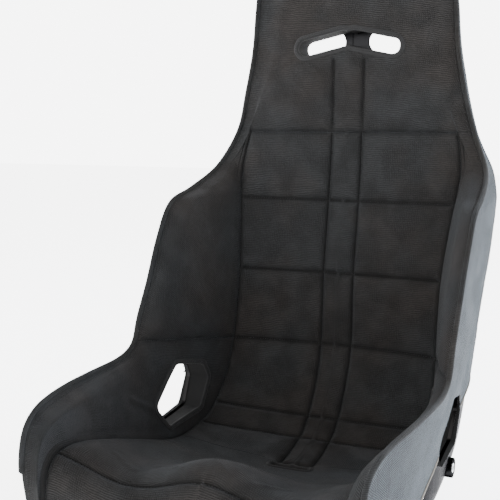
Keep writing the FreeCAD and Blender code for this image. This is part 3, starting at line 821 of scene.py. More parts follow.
@dataclass(frozen=True)
class Moulding:
    """Gloss black moulded laminate with faint orange peel, dust and handling scuffs.

    Args:
        name: material name.
        colour: gel coat colour.
        roughness: base roughness.
    """

    name: str
    colour: str = "#161617"
    roughness: float = 0.24

    def build(self) -> bpy.types.Material:
        """Material in object coordinates, in metres."""
        material, tree, shader = fresh_material(self.name)
        place = add_node(tree, "ShaderNodeTexCoord").outputs["Object"]
        smear = add_node(tree, "ShaderNodeTexNoise", {"Scale": 14.0, "Detail": 5.0,
                                                      "Roughness": 0.65},
                         {"Vector": place}).outputs[0]
        rough = math_node(tree, "ADD", math_node(tree, "MULTIPLY", smear, 0.22),
                          self.roughness - 0.08)
        peel = add_node(tree, "ShaderNodeTexNoise", {"Scale": 260.0, "Detail": 1.0},
                        {"Vector": place}).outputs[0]
        dust = math_node(tree, "MULTIPLY", math_node(tree, "POWER", smear, 3.0), 0.35)
        colour = mix_colour(tree, dust, linear(self.colour), linear("#2e2d2b"))
        tree.links.new(colour, shader.inputs["Base Color"])
        tree.links.new(rough, shader.inputs["Roughness"])
        # Carbon-filled gel coat: it mirrors the room faintly and stays dark at a low angle.
        shader.inputs["Metallic"].default_value = 1.0
        shader.inputs["Specular Tint"].default_value = linear("#6a6a6c")
        bump = add_node(tree, "ShaderNodeBump", {"Strength": 0.12, "Distance": 0.0004},
                        {"Height": peel})
        tree.links.new(bump.outputs[0], shader.inputs["Normal"])
        return material


@dataclass(frozen=True)
class Plated:
    """Zinc-plated turned steel with a faint haze.

    Args:
        name: material name.
        colour: plating colour.
    """

    name: str
    colour: str = "#b9bcbf"

    def build(self) -> bpy.types.Material:
        """Material in object coordinates."""
        material, tree, shader = fresh_material(self.name)
        haze = add_node(tree, "ShaderNodeTexNoise", {"Scale": 300.0, "Detail": 3.0}).outputs[0]
        rough = math_node(tree, "ADD", math_node(tree, "MULTIPLY", haze, 0.25), 0.22)
        tree.links.new(rough, shader.inputs["Roughness"])
        shader.inputs["Base Color"].default_value = linear(self.colour)
        shader.inputs["Metallic"].default_value = 1.0
        return material


class Finish(Enum):
    """Every finish on the seat."""

    # Matt, coarse and almost black; brightens to a blue grey where it is seen edge-on.
    TWEED = Tweed("black upholstery tweed")
    # The bolsters were cut from the cooler end of the roll.
    BOLSTER = Tweed("black upholstery tweed, bolsters", yarn="#202122", warm="#211f1e",
                    sheen=0.05, fuzz="#c3cad2")
    # Painted light: a lighter, bluer copy of the tweed with four times the sheen, for the strong
    # light the skirts catch at the sides.
    SKIRT = Tweed("outer tweed, lightly worn", yarn="#24272a", warm="#26282a", sheen=0.2,
                  fuzz="#bccbd8")
    WELT = Tweed("tweed over welt cord", yarn="#222324", warm="#232221", pitch=0.0022,
                 sheen=0.06, fuzz="#c3cad2")
    # Flat, fine-ribbed edging, a little darker than the tweed.
    BINDING = Tape("black folded tape", "#101011", sheen=0.04)
    # Near-black cloth tube in each opening: it stands for the padding wall there, and its
    # near-black colour is painted shade that makes the depths read black.
    LINING = Tape("black lining cloth", "#070707", 0.0012, 0.9, 0.0)
    # Hem tape, coloured pale so that it shows as a thin pale line along the hem: a painted
    # highlight on the lit hem edge.
    HEM = Tape("grey hem tape", "#4e4a42", 0.0011, 0.75, 0.05)
    THREAD = Tape("bonded nylon thread", "#0f0f10", 0.0006, 0.5, 0.02)
    # Deep, wet-looking black with soft long reflections.
    SHELL = Moulding("gloss black laminate")
    # Small bright points low on the shell.
    ZINC = Plated("zinc plated steel")


FINISHES: dict[Finish, bpy.types.Material] = {}


def finish_of(kind: Finish) -> bpy.types.Material:
    """The built material of a finish, made once."""
    if kind not in FINISHES:
        FINISHES[kind] = kind.value.build()
    return FINISHES[kind]


# --------------------------------------------------------------------------- meshes


def grid_faces(rows: int, columns: int, closed: bool = False) -> Array:
    """Quads of a grid of points, row by row; closed joins the last column to the first."""
    across = columns if closed else columns - 1
    row, column = np.meshgrid(np.arange(rows - 1), np.arange(across), indexing="ij")
    after = (column + 1) % columns
    quads = np.stack([row * columns + column, row * columns + after,
                      (row + 1) * columns + after, (row + 1) * columns + column], axis=-1)
    return quads.reshape(-1, 4)


def make_mesh(name: str, points: Array, quads: Array, uv: Array, finish: Finish,
              crushed: Optional[Array] = None) -> bpy.types.Object:
    """Smooth mesh object from points in millimetres.

    Args:
        name: object name.
        points: vertices, n by 3.
        quads: faces, m by 4.
        uv: cloth coordinates in metres, n by 2.
        finish: its finish.
        crushed: painted shade of the seam grooves at each vertex, 0 to 1.
    Returns:
        The linked object.
    """
    used = np.unique(quads)
    index = np.full(len(points), -1)
    index[used] = np.arange(len(used))
    mesh = bpy.data.meshes.new(name)
    mesh.from_pydata((points[used] * MM).tolist(), [], index[quads].tolist())
    layer = mesh.uv_layers.new(name="cloth")
    loops = np.empty(len(mesh.loops), dtype=np.int32)
    mesh.loops.foreach_get("vertex_index", loops)
    layer.data.foreach_set("uv", uv[used][loops].astype(np.float32).ravel())
    mesh.polygons.foreach_set("use_smooth", [True] * len(mesh.polygons))
    mesh.validate()
    # Per-vertex painted shade along the seams, read by the tweed material.
    if crushed is not None:
        seam_shade_attribute = mesh.attributes.new("crushed", "FLOAT", "POINT")
        seam_shade_attribute.data.foreach_set("value", crushed[used].astype(np.float32))
    mesh.materials.append(finish_of(finish))
    item = bpy.data.objects.new(name, mesh)
    bpy.context.scene.collection.objects.link(item)
    return item


def travel(points: Array, axis: int) -> Array:
    """Distance walked along one axis of a grid of points, in metres."""
    steps = np.linalg.norm(np.diff(points, axis=axis), axis=-1)
    pad = np.zeros_like(np.take(steps, [0], axis=axis))
    return np.concatenate([pad, np.cumsum(steps, axis=axis)], axis=axis) * MM


def cloth_uv(points: Array, middle: Optional[int] = None) -> Array:
    """UV of a grid of cloth in metres, measured from its middle row and column."""
    along = travel(points, 0)
    across = travel(points, 1)
    across = across - across[:, [middle if middle is not None else 0]]
    return np.stack([across, along + 0.0 * across], axis=-1)


def even_places(start: float, end: float, sample: Callable[[Array], Array],
                spacing: float) -> Array:
    """Places between two ends whose points lie about evenly apart.

    Args:
        start: first place.
        end: last place.
        sample: points in millimetres for an array of places.
        spacing: wanted distance in millimetres.
    Returns:
        Places, ends included.
    """
    fine = np.linspace(start, end, 400)
    walked = np.concatenate([[0.0], np.cumsum(np.linalg.norm(np.diff(sample(fine), axis=0),
                                                             axis=-1))])
    count = max(6, int(walked[-1] / spacing) + 1)
    return np.interp(np.linspace(0.0, walked[-1], count), walked, fine)


def detail() -> float:
    """Grid spacing of the covers in millimetres."""
    return 2.6


@dataclass
class Piece:
    """A finished object with what the frame needs to know about it.

    Args:
        item: Blender object.
        slot: material slot name; not used.
        stands_for: frame nodes it is shown in place of.
    """

    item: bpy.types.Object
    slot: str
    stands_for: tuple[str, ...] = ()

    def dress(self) -> None:
        """Puts the object on the frame."""
        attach(self.item, "root")
        if self.stands_for:
            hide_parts(*self.stands_for)


@dataclass
class Panel:
    """One sewn cover panel over its foam.

    Args:
        name: object name.
        span: first and last place along the seat.
        reach: first and last share across it, or millimetres where flat.
        stands_for: frame nodes it replaces.
        openings: names of the openings cut through it.
        flat: which ends of the reach are in millimetres from the centre line.
        tuck: how far the hem turns under, in millimetres.
        grid: points of the uncut face, filled in by build.
    """

    name: str
    span: tuple[float, float]
    reach: tuple[float, float]
    stands_for: tuple[str, ...]
    openings: tuple[str, ...] = ()
    flat: tuple[bool, bool] = (False, False)
    tuck: float = 4.0
    grid: Optional[Array] = field(default=None, repr=False)
    TURN_IN: ClassVar[float] = 5.0  # depth of the turned edge inside a seam
    RIM_TURN: ClassVar[float] = 3.0  # the same beside the rim, where the trim is thin

    def shares(self, where: Array, count: Array) -> Array:
        """Shares of a row, which bend where an edge keeps its distance in millimetres."""
        seam = FORM.along("seam", where)[..., 0]
        ends = [np.where(flat, end * 0.5 / seam, end) for end, flat in zip(self.reach, self.flat)]
        return ends[0] + (ends[1] - ends[0]) * count

    def build(self) -> Piece:
        """Quilted mesh with turned-in edges and its openings cut."""
        middle = sum(self.span) / 2.0
        near = self.shares(np.array([middle]), 0.5)[0]
        wheres = even_places(*self.span, lambda w: FORM.face(w, 0 * w + near), detail())
        counts = even_places(0.0, 1.0, lambda c: FORM.face(
            0 * c + middle, self.shares(0 * c + middle, c)), detail())
        where, count = np.meshgrid(wheres, counts, indexing="ij")
        share = self.shares(where, count)
        share = np.where(np.abs(share) < 1e-6, 1e-6, share)
        points = quilted(where, share)
        extra = np.zeros(where.shape)
        self.grid = points
        where, share, extra = (np.pad(a, 1, mode="edge") for a in (where, share, extra))
        extra[0, :] = extra[:, 0] = extra[:, -1] = self.TURN_IN
        extra[-1, :] = self.tuck
        rimward = np.abs(share) > 0.985
        shallow = (extra > 0) & (extra < self.TURN_IN + 0.1)
        extra = np.where(rimward & shallow, self.RIM_TURN, extra)
        full = quilted(where, share, extra)
        quads = grid_faces(*full.shape[:2])
        flat_points = full.reshape(-1, 3)
        for key in self.openings:
            quads, flat_points = cut_opening(OPENINGS[key], quads, flat_points)
        quads = faced(flat_points, quads, FORM.inward(where, share).reshape(-1, 3))
        cloth = Finish.BOLSTER if min(map(abs, self.reach)) >= 0.5 else Finish.TWEED
        nearest = seam_distance(where, share)[1].ravel()
        # Painted shade: strongest on the sewn lines and fading a few millimetres away.
        crushed = 0.8 * np.exp(-(nearest / 2.6) ** 2) + 0.2 * np.exp(-nearest / 8.0)
        item = make_mesh(self.name, flat_points, quads, cloth_uv(full).reshape(-1, 2), cloth,
                         crushed)
        return Piece(item, "tweed", self.stands_for)

    def tree(self) -> BVHTree:
        """Ray tree of the uncut face, in millimetres."""
        assert self.grid is not None
        rows, columns = self.grid.shape[:2]
        return BVHTree.FromPolygons(self.grid.reshape(-1, 3).tolist(),
                                    grid_faces(rows, columns).tolist())


def faced(points: Array, quads: Array, inward: Array) -> Array:
    """Quads turned so that their normals point against a direction at each point."""
    corner = points[quads]
    normal = np.cross(corner[:, 1] - corner[:, 0], corner[:, 3] - corner[:, 0])
    wrong = np.sum(normal * inward[quads[:, 0]], axis=-1)
    return quads[:, ::-1] if np.sum(wrong > 0) > len(quads) / 2 else quads


def cut_opening(opening: Opening, quads: Array, points: Array) -> tuple[Array, Array]:
    """Drops the quads inside an opening and draws the cut edge onto its outline."""
    middle = opening.distance(points[quads].mean(axis=1))
    kept = quads[middle > 0.0]
    edge = np.intersect1d(np.unique(kept), np.unique(quads[middle <= 0.0]))
    if not len(edge):
        return kept, points
    points = points.copy()
    for _ in range(2):
        here = points[edge]
        gap = opening.distance(here)
        slope = np.zeros_like(here)
        for axis in opening.axes:
            nudge = np.zeros(3)
            nudge[axis] = 0.2
            slope[:, axis] = (opening.distance(here + nudge) - gap) / 0.2
        points[edge] = here - slope * np.where(np.abs(gap) < 4.0, gap, 0.0)[:, None]
    return kept, points


@dataclass
class Skirt:
    """Outer cover over one side of the shell, down to its hem.

    Args:
        name: object name.
        side: 1 for the driver's left, -1 for the right.
        span: first and last place along the seat.
        wrap: share at which it ends on the back of the shell.
        hemmed: True if its lower edge follows the sloping hem.
        lift: distance of the cloth outside the inner shell face, in millimetres.
    """

    name: str
    side: int
    span: tuple[float, float]
    wrap: float
    hemmed: bool
    lift: float = 9.0
    SHORT: ClassVar[float] = 1.0
    HEM_LEVEL: ClassVar[float] = 138.0  # height of the hem above the middle of the base bolts
    HEM_SLOPE: ClassVar[float] = 0.247  # its rise toward the back
    TURN_IN: ClassVar[float] = 2.5  # depth of its turned edge

    @staticmethod
    def hem_height(points: Array) -> Array:
        """Height of the hem in millimetres at points of the skirt."""
        return Skirt.HEM_LEVEL + Skirt.HEM_SLOPE * points[..., 1]

    def lowest(self, wheres: Array) -> Array:
        """Share at which each row ends: on the back of the shell, or at the hem."""
        shares = np.linspace(1.0, self.wrap, 160)
        where, share = np.meshgrid(wheres, shares, indexing="ij")
        points = FORM.outside(where, share * self.side, self.lift, self.SHORT)
        below = points[..., 2] < self.hem_height(points)
        first = np.argmax(below, axis=1)
        found = np.where(below.any(axis=1) & self.hemmed, shares[np.maximum(first - 1, 0)],
                         self.wrap)
        kernel = np.ones(7) / 7.0
        return np.convolve(np.pad(found, 3, mode="edge"), kernel, mode="valid")

    def build(self) -> tuple[Piece, Array]:
        """Skirt mesh, and the points of its lower edge."""
        wheres = even_places(*self.span, lambda w: FORM.outside(
            w, 0 * w + self.side * 0.9, self.lift, self.SHORT), detail() * 1.5)
        low = self.lowest(wheres)
        wheres, low = wheres[low < 0.985], low[low < 0.985]
        part = np.linspace(0.0, 1.0, 90)
        share = 1.0 + (low[:, None] - 1.0) * part[None, :]
        where = wheres[:, None] + 0.0 * share
        base = FORM.outside(where, share * self.side, self.lift, self.SHORT)
        sag = 0.5 * value_noise(base, 120.0, 11) + 0.25 * value_noise(base, 42.0, 12)
        edge = smooth_step(part[None, :], 0.0, 0.12)
        distance = self.lift + sag * edge
        points = FORM.outside(where, share * self.side, distance, self.SHORT)
        back = FORM.outside(where, share * self.side, self.lift - self.TURN_IN,
                            self.SHORT)
        top = FORM.sided(FORM.welt(wheres, 3.0), 0.0 * wheres + self.side)
        points[:, 0] = 0.3 * points[:, 0] + 0.7 * top
        turned = np.concatenate([points, back[:, -1:]], axis=1)
        flat_points = turned.reshape(-1, 3)
        quads = grid_faces(*turned.shape[:2])
        key = "lap_left" if self.side > 0 else "lap_right"
        if self.hemmed:
            quads, flat_points = cut_opening(OPENINGS[key], quads, flat_points)
        inward = FORM.shell(where, share * self.side, self.SHORT) - points
        inward = np.concatenate([inward, inward[:, -1:]], axis=1).reshape(-1, 3)
        quads = faced(flat_points, quads, inward)
        item = make_mesh(self.name, flat_points, quads, cloth_uv(turned).reshape(-1, 2),
                         Finish.SKIRT)
        return Piece(item, "tweed", (self.name,)), points[:, -1]


def sweep(name: str, path: Array, outward: Array, profile: Array,
          finish: Finish) -> bpy.types.Object:
    """Closed profile swept along a path, with its ends drawn in to close it.

    Args:
        name: object name.
        path: points in millimetres, n by 3.
        outward: direction of the profile's first axis at each point.
        profile: closed outline, k by 2, in millimetres.
        finish: its finish.
    Returns:
        The linked object.
    """
    heading = np.gradient(path, axis=0)
    heading /= np.linalg.norm(heading, axis=1, keepdims=True)
    first = outward - np.sum(outward * heading, axis=1, keepdims=True) * heading
    first /= np.linalg.norm(first, axis=1, keepdims=True)
    second = np.cross(heading, first)
    rings = (path[:, None] + first[:, None] * profile[None, :, :1]
             + second[:, None] * profile[None, :, 1:])
    rings[0], rings[-1] = path[0], path[-1]
    count = len(profile)
    quads = grid_faces(len(path), count, closed=True)
    middle = quads[len(quads) // 2]
    corner = rings.reshape(-1, 3)[middle]
    normal = np.cross(corner[1] - corner[0], corner[3] - corner[0])
    if normal @ (corner[0] - path[middle[0] // count]) < 0:
        quads = quads[:, ::-1]
    return make_mesh(name, rings.reshape(-1, 3), quads, cloth_uv(rings).reshape(-1, 2), finish)


def round_profile(radius: float, count: int = 12) -> Array:
    """Circle as a closed outline."""
    turn = np.linspace(0, 2 * math.pi, count, endpoint=False)
    return np.stack([np.cos(turn), np.sin(turn)], axis=-1) * radius


def resampled(points: Array, spacing: float, closed: bool = False) -> Array:
    """Points of a path at even spacing, in millimetres."""
    if closed:
        points = np.concatenate([points, points[:1]])
    walked = np.concatenate([[0.0], np.cumsum(np.linalg.norm(np.diff(points, axis=0), axis=1))])
    stops = np.linspace(0.0, walked[-1], max(3, int(walked[-1] / spacing) + 1))
    return np.stack([np.interp(stops, walked, points[:, k]) for k in range(3)], axis=-1)


# --------------------------------------------------------------------------- stitches


def stitch_mesh() -> bpy.types.Object:
    """One short rounded stitch along X, a few dozen faces."""
    length, radius = 2.9, 0.42
    rings = []
    for place, wide in ((-1.0, 0.15), (-0.8, 0.8), (0.0, 1.0), (0.8, 0.8), (1.0, 0.15)):
        ring = round_profile(radius * wide, 6)
        rings.append(np.stack([np.full(6, place * length / 2.0), ring[:, 0], ring[:, 1]
                               + 0.25 * (1.0 - place ** 2)], axis=-1))
    points = np.array(rings)
    quads = grid_faces(5, 6, closed=True)
    return make_mesh("one_stitch", points.reshape(-1, 3), quads,
                     cloth_uv(points).reshape(-1, 2), Finish.THREAD)


@dataclass
class StitchTree:
    """Geometry nodes that lay stitches along a curve.

    Args:
        seed: fixed seed of the small differences.
    """

    seed: int = 7

    def build(self) -> bpy.types.NodeTree:
        """Node tree with named inputs, ending in real geometry and a material."""
        tree = bpy.data.node_groups.new("stitch_line", "GeometryNodeTree")
        face = tree.interface
        face.new_socket("Geometry", in_out="INPUT", socket_type="NodeSocketGeometry")
        face.new_socket("Spacing", in_out="INPUT", socket_type="NodeSocketFloat")
        face.new_socket("Stitch", in_out="INPUT", socket_type="NodeSocketObject")
        face.new_socket("Thread", in_out="INPUT", socket_type="NodeSocketMaterial")
        face.new_socket("Geometry", in_out="OUTPUT", socket_type="NodeSocketGeometry")
        source = add_node(tree, "NodeGroupInput").outputs
        even = add_node(tree, "GeometryNodeResampleCurve", {"mode": "LENGTH"},
                        {"Curve": source[0], "Length": source[1]})
        tangent = add_node(tree, "GeometryNodeInputTangent").outputs[0]
        turn = add_node(tree, "FunctionNodeAlignEulerToVector", {"axis": "X"},
                        {"Vector": tangent}).outputs[0]
        size = add_node(tree, "FunctionNodeRandomValue",
                        {"data_type": "FLOAT", 2: 0.9, 3: 1.08, "Seed": self.seed}).outputs[1]
        shape = add_node(tree, "GeometryNodeObjectInfo", {}, {"Object": source[2]}).outputs
        laid = add_node(tree, "GeometryNodeInstanceOnPoints", {},
                        {"Points": even.outputs[0], "Instance": shape["Geometry"],
                         "Rotation": turn, "Scale": size})
        real = add_node(tree, "GeometryNodeRealizeInstances", {}, {0: laid.outputs[0]})
        final = add_node(tree, "GeometryNodeSetMaterial", {},
                         {"Geometry": real.outputs[0], "Material": source[3]})
        add_node(tree, "NodeGroupOutput", {}, {0: final.outputs[0]})
        return tree


def curve_of(name: str, lines: Sequence[Array]) -> bpy.types.Object:
    """Poly curve object through lines of points in millimetres."""
    data = bpy.data.curves.new(name, "CURVE")
    data.dimensions = "3D"
    for line in lines:
        spline = data.splines.new("POLY")
        spline.points.add(len(line) - 1)
        flat = np.concatenate([line * MM, np.ones((len(line), 1))], axis=1)
        spline.points.foreach_set("co", flat.astype(np.float32).ravel())
    item = bpy.data.objects.new(name, data)
    bpy.context.scene.collection.objects.link(item)
    return item


def stitched(name: str, lines: Sequence[Array], tree: bpy.types.NodeTree,
             stitch: bpy.types.Object, spacing: float) -> bpy.types.Object:
    """Plain mesh of the stitches along some lines."""
    source = curve_of(name + "_path", lines)
    modifier = source.modifiers.new("stitches", "NODES")
    modifier.node_group = tree
    values = {"Spacing": spacing, "Stitch": stitch, "Thread": finish_of(Finish.THREAD)}
    for socket in tree.interface.items_tree:
        if socket.item_type == "SOCKET" and socket.in_out == "INPUT" and socket.name in values:
            modifier[socket.identifier] = values[socket.name]
    bpy.context.view_layer.update()
    graph = bpy.context.evaluated_depsgraph_get()
    mesh = bpy.data.meshes.new_from_object(source.evaluated_get(graph), depsgraph=graph)
    item = bpy.data.objects.new(name, mesh)
    bpy.context.scene.collection.objects.link(item)
    bpy.data.objects.remove(source)
    return item


# --------------------------------------------------------------------------- edging


def put(opening: Opening, plane: Array, level: float) -> Array:
    """Plane points of an opening as space points at a level on its through axis."""
    points = np.zeros((len(plane), 3))
    points[:, opening.axes[0]], points[:, opening.axes[1]] = plane[:, 0], plane[:, 1]
    points[:, opening.through[0]] = level
    return points


def cast(opening: Opening, tree: BVHTree, plane: Array, start: float) -> tuple[Array, Array]:
    """Surface points and outward-facing normals straight through an opening's plane.

    Args:
        opening: gives the direction of the rays.
        tree: surface to hit, in millimetres.
        plane: plane points.
        start: level the rays start from.
    Returns:
        Points and unit normals that face back along the rays.
    """
    axis, sign = opening.through
    heading = Vector([float(sign) if k == axis else 0.0 for k in range(3)])
    hits, normals = [], []
    for origin in put(opening, plane, start):
        found, normal, _, _ = tree.ray_cast(Vector(origin), heading)
        if found is None:
            found, normal, _, _ = tree.find_nearest(Vector(hits[-1]) if hits else Vector(origin))
        hits.append(tuple(found))
        normals.append(tuple(normal if normal.dot(heading) < 0 else -normal))
    return np.array(hits), np.array(normals)


@dataclass
class Edging:
    """Folded tape round an opening, and a near-black cloth tube down its wall whose colour is
    painted shade.

    Args:
        opening: the opening.
        width: width of tape on the face, in millimetres.
        depth: level on the through axis where the shade tube ends.
        start: level the rays start from.
    """

    opening: Opening
    width: float
    depth: float
    start: float

    def build(self, tree: BVHTree, name: str) -> tuple[Piece, Piece, Array]:
        """Tape and shade tube objects, and the line of the tape's stitches."""
        count = 150
        profile = ((self.width, -0.6), (self.width, 0.9), (self.width * 0.85, 1.5),
                   (self.width * 0.4, 1.9), (0.9, 1.9), (-0.5, 1.3), (-1.2, 0.0), (-1.3, -3.0))
        rings, stitch_line = [], None
        for grow, proud in profile:
            hits, normals = cast(self.opening, tree, self.opening.outline(grow, count), self.start)
            for _ in range(2):
                normals = (normals + np.roll(normals, 1, 0) + np.roll(normals, -1, 0)) / 3.0
            rings.append(hits + normals * proud)
            if abs(grow - self.width * 0.4) < 1e-6:
                stitch_line = hits + normals * 2.0
        points = np.stack(rings, axis=1)
        points = np.concatenate([points, points[:1]])
        quads = grid_faces(*points.shape[:2])
        inward = np.zeros((points.size // 3, 3))
        inward[:, self.opening.through[0]] = self.opening.through[1]
        quads = faced(points.reshape(-1, 3), quads, inward)
        uv = cloth_uv(np.swapaxes(points, 0, 1))
        tape = make_mesh(name, points.reshape(-1, 3), quads,
                         np.swapaxes(uv, 0, 1).reshape(-1, 2), Finish.BINDING)
        hits, _ = cast(self.opening, tree, self.opening.outline(-1.1, count), self.start)
        axis = self.opening.through[0]
        walls = []
        for part in (0.0, 0.33, 0.66, 1.0):
            wall = hits.copy()
            wall[:, axis] = hits[:, axis] * (1.0 - part) + self.depth * part
            walls.append(wall)
        tube = np.stack(walls, axis=1)
        tube = np.concatenate([tube, tube[:1]])
        away = tube - put(self.opening, np.array([self.opening.centre]), 0.0)[0]
        away[..., axis] = 0.0
        tube_quads = faced(tube.reshape(-1, 3), grid_faces(*tube.shape[:2]), away.reshape(-1, 3))
        # Painted shade: a near-black tube down the opening's wall.
        shade_lining = make_mesh(name + "_lining", tube.reshape(-1, 3), tube_quads,
                           cloth_uv(tube).reshape(-1, 2), Finish.LINING)
        return Piece(tape, "binding", (name,)), Piece(shade_lining, "binding"), stitch_line


def welt_path() -> tuple[Array, Array]:
    """Path of the welt from the right lip over the crown to the left lip, and its outside.

    Returns:
        Points in millimetres and directions away from the seat.
    """
    where = np.linspace(0.3, PLACE["lip"] + 0.2, 240)
    rim, corner = FORM.along("rim", where), FORM.along("corner", where)
    away = (rim - corner) / np.linalg.norm(rim - corner, axis=1, keepdims=True)
    away[:, 2] += 1.2 * np.clip(1.0 - where, 0.0, 1.0)
    side = rim + away * 4.0
    crown = FORM.along("rim", np.array([0.0]))[0]
    wide = 0.82 * crown[0]
    top = np.array([(x, crown[1] - 5.0, crown[2] + 4.0) for x in np.linspace(wide, -wide, 30)])
    mirror = side * np.array([-1.0, 1.0, 1.0])
    path = resampled(np.concatenate([side[::-1], top, mirror]), 4.0)
    for _ in range(3):
        path[1:-1] = (path[:-2] + 2 * path[1:-1] + path[2:]) / 4.0
    outward = path - np.array([0.0, 150.0, 0.0])
    outward[:, 1] = 0.0
    outward[:, 2] = np.clip(path[:, 2] - 800.0, 0.0, 60.0) * 4.0
    return path, outward


HEM_PROFILE = np.array([(0.7, -3.2), (1.1, 0.0), (0.7, 3.2), (-0.6, 3.3), (-1.0, 0.0),
                        (-0.6, -3.3)])


def hem_runs(hem: Array, opening: Opening) -> list[Array]:
    """Smooth runs of a hem, broken where it meets the belt opening.

    Args:
        hem: lower edge of a skirt in millimetres.
        opening: the belt opening of that side.
    Returns:
        Lines of points.
    """
    line = resampled(hem, 4.0)
    for _ in range(12):
        line[1:-1] = (line[:-2] + 2 * line[1:-1] + line[2:]) / 4.0
    clear = opening.distance(line) > 1.0
    breaks = np.flatnonzero(np.diff(clear.astype(int))) + 1
    runs = np.split(np.arange(len(line)), breaks)
    return [line[run] for run in runs if clear[run[0]] and len(run) > 4]


def hem_outward(line: Array) -> Array:
    """Direction away from the shell at each point of a hem line."""
    inside = np.array([0.0, 150.0, 330.0])
    away = line - inside
    away[:, 2] = np.minimum(away[:, 2], 0.0) * 0.4
    high = np.clip((line[:, 2:] - 200.0) / 100.0, 0.0, 1.0)
    return away * (1.0 - high) + high * away * np.array([0.5, 1.0, 0.0])


# --------------------------------------------------------------------------- sub-assemblies


@dataclass
class Trim:
    """The whole sewn cover: panels, tapes, welt, skirts and stitches.

    Args:
        pieces: finished pieces, filled in by build.
        skirts: those of them that are plain sheets; not used.
        pads: those of them that are padded; not used.
        lines: paths of the stitches by name.
    """

    pieces: list[Piece] = field(default_factory=list)
    skirts: list[Piece] = field(default_factory=list)
    pads: list[Piece] = field(default_factory=list)
    lines: dict[str, list[Array]] = field(default_factory=dict)

    @staticmethod
    def panels() -> list[Panel]:
        """Every cover panel, split where the seams run."""
        cut = PLACE["crotch"] - 0.12
        one, four, roll = PLACE["row_one"], PLACE["row_four"], PLACE["roll"] + 0.1
        made = [
            Panel("head_cover", (0.0, one), (-1.0, 1.0), ("head_panel", "head_foam"),
                  ("harness",)),
            Panel("strip_cover", (one, cut), (-25.0, 25.0), ("centre_strip", "back_foam"), (),
                  (True, True)),
            Panel("pan_cover", (cut, roll), (-0.5, 0.5), ("pan_panel", "pan_foam"), ("crotch",)),
            Panel("front_cover", (roll, LAST), (-0.5, 0.5), ("front_panel", "front_foam"), (),
                  (False, False), 17.0),
        ]
        for side, word in ((1.0, "left"), (-1.0, "right")):
            made.append(Panel("back_cover_" + word, (one, cut), (25.0 * side, 0.5 * side),
                              ("back_panel_" + word,), (), (True, False)))
            made.append(Panel("wing_cover_" + word, (one, four), (0.5 * side, side),
                              ("wing_panel_" + word, "wing_foam_" + word)))
            made.append(Panel("hip_cover_" + word, (four, LAST), (0.5 * side, side),
                              ("hip_panel_" + word, "hip_foam_" + word, "thigh_foam_" + word),
                              ("lap_" + word,), (False, False), 17.0))
        return made

    def build(self) -> None:
        """Makes the cover from the panels outward."""
        trees: dict[str, BVHTree] = {}
        for panel in self.panels():
            piece = panel.build()
            self.pieces.append(piece)
            self.pads.append(piece)
            for key in panel.openings:
                trees[key] = panel.tree()
        plans = (("harness", "harness_binding", 6.5, 317.0, -100.0),
                 ("lap_left", "lap_binding_left", 7.0, 229.0, 150.0),
                 ("lap_right", "lap_binding_right", 7.0, -229.0, -150.0),
                 ("crotch", "crotch_binding", 5.0, 43.0, 300.0))
        for key, name, width, depth, start in plans:
            tape, shade_lining, line = Edging(OPENINGS[key], width, depth, start).build(trees[key], name)
            self.pieces += [tape, shade_lining]
            self.lines.setdefault("opening_stitches", []).append(
                resampled(line, 3.0, closed=True))
        path, outward = welt_path()
        welt = sweep("edge_welt", path, outward, round_profile(3.6, 14), Finish.WELT)
        self.pieces.append(Piece(welt, "piping", ("edge_piping",)))
        self.build_skirts()
        self.build_stitches()

    def build_skirts(self) -> None:
        """Outer skirts with their hem tapes, and the bands behind the head."""
        for side, word in ((1, "left"), (-1, "right")):
            skirt = Skirt("outer_skirt_" + word, side, (PLACE["row_one"] + 0.9, PLACE["lip"]),
                          0.44, True)
            band = Skirt("head_skirt_" + word, side, (0.45, PLACE["row_one"] + 0.9), 0.44, False)
            for plan in (skirt, band):
                piece, hem = plan.build()
                self.pieces.append(piece)
                self.skirts.append(piece)
                for part, line in enumerate(hem_runs(hem, OPENINGS["lap_" + word])):
                    name = "%s_hem_%d" % (plan.name, part)
                    tape = sweep(name, line, hem_outward(line), HEM_PROFILE, Finish.HEM)
                    self.pieces.append(Piece(tape, "binding"))

    def build_stitches(self) -> None:
        """Stitches: along the welt, in the quilting and round the openings."""
        rim = np.linspace(0.8, PLACE["lip"] + 0.6, 500)
        quilt = self.lines.setdefault("quilt_stitches", [])
        welt = self.lines.setdefault("welt_stitches", [])
        for side in (-1.0, 1.0):
            welt.append(resampled(quilted(rim, 0 * rim + 0.968 * side, -0.35), 3.0))
        for seam in SEAMS:
            if seam.across:
                share = np.linspace(-seam.end, seam.end, 300)
                share = np.where(np.abs(share) < 1e-6, 1e-6, share)
                quilt.append(resampled(quilted(0 * share + seam.at, share, -0.3), 3.0))
                continue
            where = np.linspace(seam.start, seam.end, 700)
            centre = FORM.along("seam", where)[..., 0]
            share = seam.at * 0.5 / centre if seam.flat else 0 * where + seam.at
            for side in (-1.0, 1.0):
                quilt.append(resampled(quilted(where, share * side, -0.3), 3.0))
        tree, stitch = StitchTree().build(), stitch_mesh()
        spacing = {"quilt_stitches": 0.0042, "welt_stitches": 0.0045, "opening_stitches": 0.0038}
        for name, lines in self.lines.items():
            item = stitched(name, lines, tree, stitch, spacing[name])
            self.pieces.append(Piece(item, "piping"))
        bpy.data.objects.remove(stitch)

    def dress(self) -> None:
        """Puts every piece on the frame."""
        for piece in self.pieces:
            piece.dress()


@dataclass
class Hardware:
    """Shell and bushes, which keep the frame's own shapes.

    Args:
        nodes: frame objects by node name.
    """

    nodes: dict[str, bpy.types.Object]

    def dress(self) -> None:
        """Gives the hard nodes their finishes."""
        for name, item in self.nodes.items():
            if name == "seat_shell":
                self.paint(item, Finish.SHELL)
            elif "bush" in name:
                self.paint(item, Finish.ZINC)

    @staticmethod
    def paint(item: bpy.types.Object, finish: Finish) -> None:
        """Replaces the materials of one frame object."""
        item.data.materials.clear()
        item.data.materials.append(finish_of(finish))


